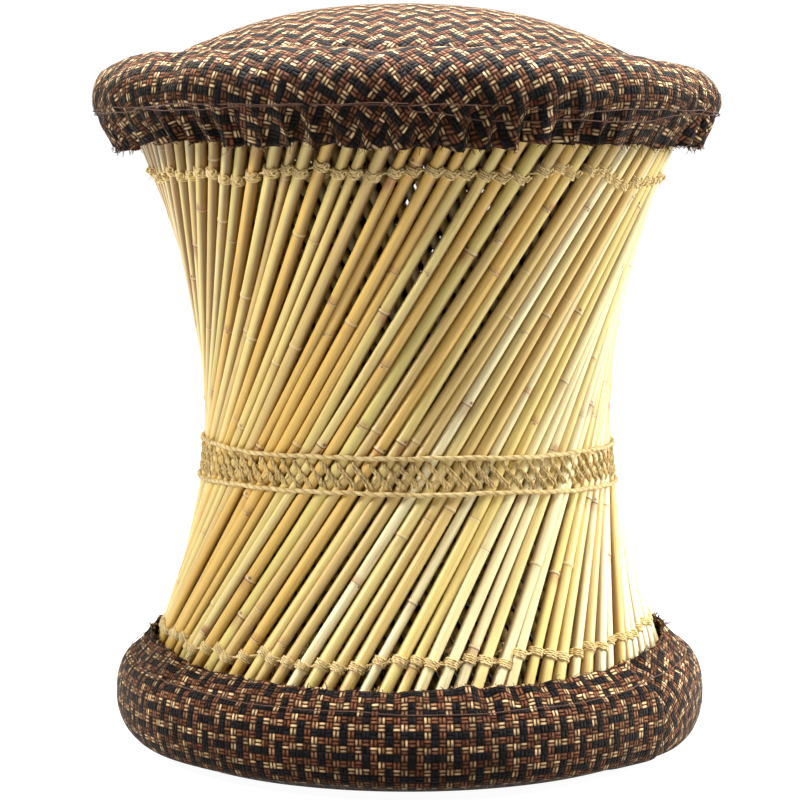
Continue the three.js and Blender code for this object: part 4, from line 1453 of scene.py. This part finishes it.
def make_deck(material):
    """Grass rope woven across: ropes both ways, each going over and under the next in a
    cosine wave, and cut to the deck's circle."""
    low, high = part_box("seat_deck")
    pitch, points, rim_gap, tightness = 0.0105, 150, 0.002, 0.98
    radius, reach = (high.z - low.z) / 4, high.x - rim_gap
    numbers = np.arange(-13, 14)
    offsets = numbers * pitch
    along = np.linspace(-1, 1, points) * np.sqrt(reach**2 - offsets**2)[:, None]
    across = np.broadcast_to(offsets[:, None], along.shape)
    sweeps = []
    for way in (0, 1):
        phase = np.pi * (along / pitch + numbers[:, None] + way)
        height = (low.z + high.z) / 2 + radius * tightness * np.cos(phase)
        paths = np.stack([across, along, height] if way else [along, across, height], axis=-1)
        sweeps.append(sweep(paths, UP, radius, 8, run_start=np.arange(len(numbers)) * 0.31 + way))
    new_tubes("rope_deck", "seat_deck", "grass_rope", material, sweeps)


def make_hoop(name, material, seed):
    """A bent cane: a closed ring whose section swells at its nodes."""
    low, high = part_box(f"{name}_hoop")
    radius, rings, sides = (high.z - low.z) / 2, 220, 12
    angle = full_turn(rings)
    nodes = np.cumsum(np.random.default_rng(seed).uniform(0.7, 1.1, 6))
    gap = np.angle(np.exp(1j * (angle[:, None] - nodes)))
    swell = 1 + 0.05 * bell(gap, 0.02).sum(axis=1)
    path = round_point(high.x - radius, angle, (low.z + high.z) / 2)[None]
    radii = (radius * 0.95 * swell)[None, :, None]
    tube = sweep(path, round_point(1.0, angle, 0.0)[None], radii, sides, closed=True)
    new_tubes(f"{name}_cane", f"{name}_hoop", "cane", material, [tube])


# Stage

CAMERA = {"place": (-0.0045, -1.52, 0.342), "down": 5.1, "lens": 112.5, "sensor": 36}
# Each lamp's place, what it points at, and its size
LAMPS = {
    "right": ((2.1, 0.1, 1.0), (0, 0, 0.2), 0.7),
    "left": ((-2.0, -0.62, 1.5), (0, 0, 0.2), 0.5),
    "top": ((0.35, -0.5, 2.5), (0, 0, 0.25), 0.8),
    "back": ((0.1, 0.55, 2.3), (0, 0, 0.4), 0.8),
}
WHITE = (1, 1, 1, 1)


def make_lamp(name, place, aim, size, energy):
    light = bpy.data.lights.new(name, "AREA")
    light.energy, light.size = energy, size
    lamp = bpy.data.objects.new(name, light)
    bpy.context.scene.collection.objects.link(lamp)
    lamp.location = place
    lamp.rotation_euler = (Vector(aim) - Vector(place)).to_track_quat("-Z", "Y").to_euler()


def make_camera():
    camera = bpy.data.cameras.new("camera")
    camera.lens, camera.sensor_width = CAMERA["lens"], CAMERA["sensor"]
    holder = bpy.data.objects.new("camera", camera)
    bpy.context.scene.collection.objects.link(holder)
    holder.location = CAMERA["place"]
    holder.rotation_euler = (math.radians(90 - CAMERA["down"]), 0, 0)
    bpy.context.scene.camera = holder


def seen_directly(graph):
    """1 for a ray from the camera, and for one that it sends on by gloss or through glass."""
    path = graph.add("ShaderNodeLightPath").outputs
    either = graph.math("MAXIMUM", path["Is Camera Ray"], path["Is Glossy Ray"])
    return graph.math("MAXIMUM", either, path["Is Transmission Ray"])


def make_backdrop(colour):
    """Floor that curves up into a wall behind: straight, a quarter circle, straight."""
    front, back, top, side, radius = -6.0, 4.0, 7.0, 9.0, 2.0
    bend = np.linspace(0, np.pi / 2, 24)
    depth = np.concatenate([[front], back + radius * np.sin(bend), [back + radius]])
    height = np.concatenate([[0.0], radius - radius * np.cos(bend), [top]])
    across = np.array([-side, side])
    grid = np.stack(np.broadcast_arrays(across[None, :], depth[:, None], height[:, None]), axis=-1)
    mesh = bpy.data.meshes.new("backdrop")
    faces = grid_faces(len(depth), 2, wrap_columns=False)
    mesh.from_pydata(grid.reshape(-1, 3).tolist(), [], faces.tolist())
    mesh.shade_smooth()
    backdrop = bpy.data.objects.new("backdrop", mesh)
    bpy.context.scene.collection.objects.link(backdrop)
    material, graph, shader = new_material("backdrop", 1.0, 0.0)
    shader.inputs["Base Color"].default_value = opaque(colour)
    shader.inputs["Emission Color"].default_value = WHITE
    graph.feed(shader.inputs["Emission Strength"], graph.times(seen_directly(graph), 0.96))
    mesh.materials.append(material)


def make_world(strength):
    """White where it is seen, and a plain dimmer light for everything else."""
    world = bpy.data.worlds.new("studio")
    bpy.context.scene.world = world
    world.use_nodes = True
    graph = Graph(world.node_tree)
    background = world.node_tree.nodes["Background"]
    background.inputs["Color"].default_value = WHITE
    level = graph.plus(strength, graph.times(seen_directly(graph), 1 - strength))
    graph.feed(background.inputs["Strength"], level)


class StoolOperator:
    """Common to all the operators: settings, and an undo step for each."""

    bl_options = {"REGISTER", "UNDO"}

    @property
    def stool(self):
        return bpy.context.scene.mudda_stool


class MUDDA_OT_stage(StoolOperator, bpy.types.Operator):
    """Make the camera, the lamps and the backdrop"""

    bl_idname = "mudda.stage"
    bl_label = "Stage"

    def execute(self, context):
        stage = self.stool.stage
        make_camera()
        make_backdrop(stage.floor)
        make_world(stage.sky)
        for name, (place, aim, size) in LAMPS.items():
            make_lamp(f"{name}_lamp", place, aim, size, getattr(stage, name))
        context.scene.view_settings.view_transform = "Standard"
        return {"FINISHED"}


class MUDDA_OT_reeds(StoolOperator, bpy.types.Operator):
    """Make the bunches of reeds of both layers"""

    bl_idname = "mudda.reeds"
    bl_label = "Reeds"

    def execute(self, context):
        reeds = self.stool.reeds
        make_reeds(reeds, True, reed_material("outer_reed", reeds.scar, shadow=0.0, gloss=0.5))
        make_reeds(reeds, False, reed_material("inner_reed", reeds.scar, shadow=0.62, gloss=0.12))
        return {"FINISHED"}


class MUDDA_OT_ties(StoolOperator, bpy.types.Operator):
    """Make the rows of ties under the seat and above the base"""

    bl_idname = "mudda.ties"
    bl_label = "Ties"

    def execute(self, context):
        stool, twine = self.stool, self.stool.twine
        material = twine_material("tie_twine", 0.006, opaque(twine.jute), opaque(twine.jute_shadow))
        outer, inner = Layer(stool.reeds, True), Layer(stool.reeds, False)
        front_drop = 0.0036
        tie_row(outer, "top", twine.top_height, twine, material, 50, 0.0, 1.0)
        tie_row(inner, "top", twine.top_height, twine, material, 51, 0.0, 0.0)
        tie_row(outer, "bottom", twine.bottom_height, twine, material, 60, front_drop, 0.0)
        tie_row(inner, "bottom", twine.bottom_height, twine, material, 61, 0.0, 0.0)
        return {"FINISHED"}


class MUDDA_OT_belt(StoolOperator, bpy.types.Operator):
    """Make the belt's cords and the strands between them"""

    bl_idname = "mudda.belt"
    bl_label = "Belt"

    def execute(self, context):
        twine, lay = self.stool.twine, 0.012
        layer = Layer(self.stool.reeds, True)
        cord = twine_material("belt_cord", lay, opaque(twine.jute), opaque(twine.jute_shadow))
        # The strands' deep colour, at 0.35 of the worn jute, is painted shade in their grooves
        worn_and_lit, groove_shade = opaque(twine.worn_jute), opaque(twine.worn_jute, 0.35)
        strand = twine_material("belt_strand", 0.007, worn_and_lit, groove_shade)
        belt_cord(layer, "upper", 1, twine, lay, cord, 31)
        belt_cord(layer, "lower", -1, twine, lay, cord, 32)
        belt_lashing(layer, twine, strand)
        return {"FINISHED"}


class MUDDA_OT_seat(StoolOperator, bpy.types.Operator):
    """Make the seat's cloth, its frayed hem and its drawing thread"""

    bl_idname = "mudda.seat"
    bl_label = "Seat"

    def execute(self, context):
        cloth = self.stool.cloth
        # Painted light: the seat's yarn colours are brightened a little
        weave = cloth_material("seat_weave", cloth, wobble=0.0012, packing=1.0, painted_light_level=1.08)
        piece, reach, hem = seat_cloth(cloth, weave)
        ends = yarn_ends("seat_hem_yarns", hem, -1, cloth, 900, 71)
        drawing_thread("seat", seat_thread_path(), self.stool.twine)
        return {"FINISHED"}


class MUDDA_OT_base(StoolOperator, bpy.types.Operator):
    """Make the base's cloth, its frayed edge and its drawing thread"""

    bl_idname = "mudda.base"
    bl_label = "Base"

    def execute(self, context):
        cloth = self.stool.cloth
        # Painted light: the base's yarn colours are brightened, for light thrown up from the floor
        weave = cloth_material("base_weave", cloth, wobble=0.0011, packing=1.1, painted_light_level=1.48)
        piece, reach, hem = base_cloth(cloth, weave)
        ends = yarn_ends("base_hem_yarns", hem, 1, cloth, 700, 72)
        drawing_thread("base", base_thread_path(), self.stool.twine)
        return {"FINISHED"}


class MUDDA_OT_stuffing(StoolOperator, bpy.types.Operator):
    """Make the pad, the deck, the grass rolls and the hoops"""

    bl_idname = "mudda.stuffing"
    bl_label = "Stuffing"

    def execute(self, context):
        stuffing = self.stool.stuffing
        make_pad(wadding_material("wadding", stuffing.wadding))
        # The rope's deep colour, at 0.35 of its own, is painted shade in its grooves
        make_deck(twine_material("grass_rope", 0.012, opaque(stuffing.rope), opaque(stuffing.rope, 0.35)))
        grass = grass_material("grass_roll", stuffing.grass)
        for name, outline in roll_outlines().items():
            stuffed_ring(name, outline, grass)
        cane = cane_material("cane", stuffing.cane)
        make_hoop("seat", cane, 81)
        make_hoop("base", cane, 82)
        return {"FINISHED"}


class MUDDA_PT_stool(bpy.types.Panel):
    """Lists the steps that build the stool"""

    bl_idname = "MUDDA_PT_stool"
    bl_label = "Mudda Stool"
    bl_space_type = "VIEW_3D"
    bl_region_type = "UI"
    bl_category = "Mudda Stool"

    def draw(self, context):
        stool = context.scene.mudda_stool
        for operator in OPERATORS:
            self.layout.operator(operator.bl_idname)
        for group in ("reeds", "twine", "cloth", "stuffing", "stage"):
            box = self.layout.box()
            settings = getattr(stool, group)
            for key in settings.bl_rna.properties.keys():
                if key not in ("rna_type", "name"):
                    box.prop(settings, key)


GROUPS = (ReedSettings, TwineSettings, ClothSettings, StuffingSettings, StageSettings, StoolSettings)
OPERATORS = (
    MUDDA_OT_stage,
    MUDDA_OT_reeds,
    MUDDA_OT_ties,
    MUDDA_OT_belt,
    MUDDA_OT_seat,
    MUDDA_OT_base,
    MUDDA_OT_stuffing,
)
CLASSES = (*GROUPS, *OPERATORS, MUDDA_PT_stool)


def register():
    for item in CLASSES:
        bpy.utils.register_class(item)
    bpy.types.Scene.mudda_stool = bpy.props.PointerProperty(type=StoolSettings)


def unregister():
    del bpy.types.Scene.mudda_stool
    for item in reversed(CLASSES):
        bpy.utils.unregister_class(item)


def main():
    register()
    make_grain_group()
    make_twist_group()
    make_weave_group()
    bpy.ops.mudda.stage()
    bpy.ops.mudda.reeds()
    bpy.ops.mudda.ties()
    bpy.ops.mudda.belt()
    bpy.ops.mudda.seat()
    bpy.ops.mudda.base()
    bpy.ops.mudda.stuffing()


if __name__ == "__main__":
    main()
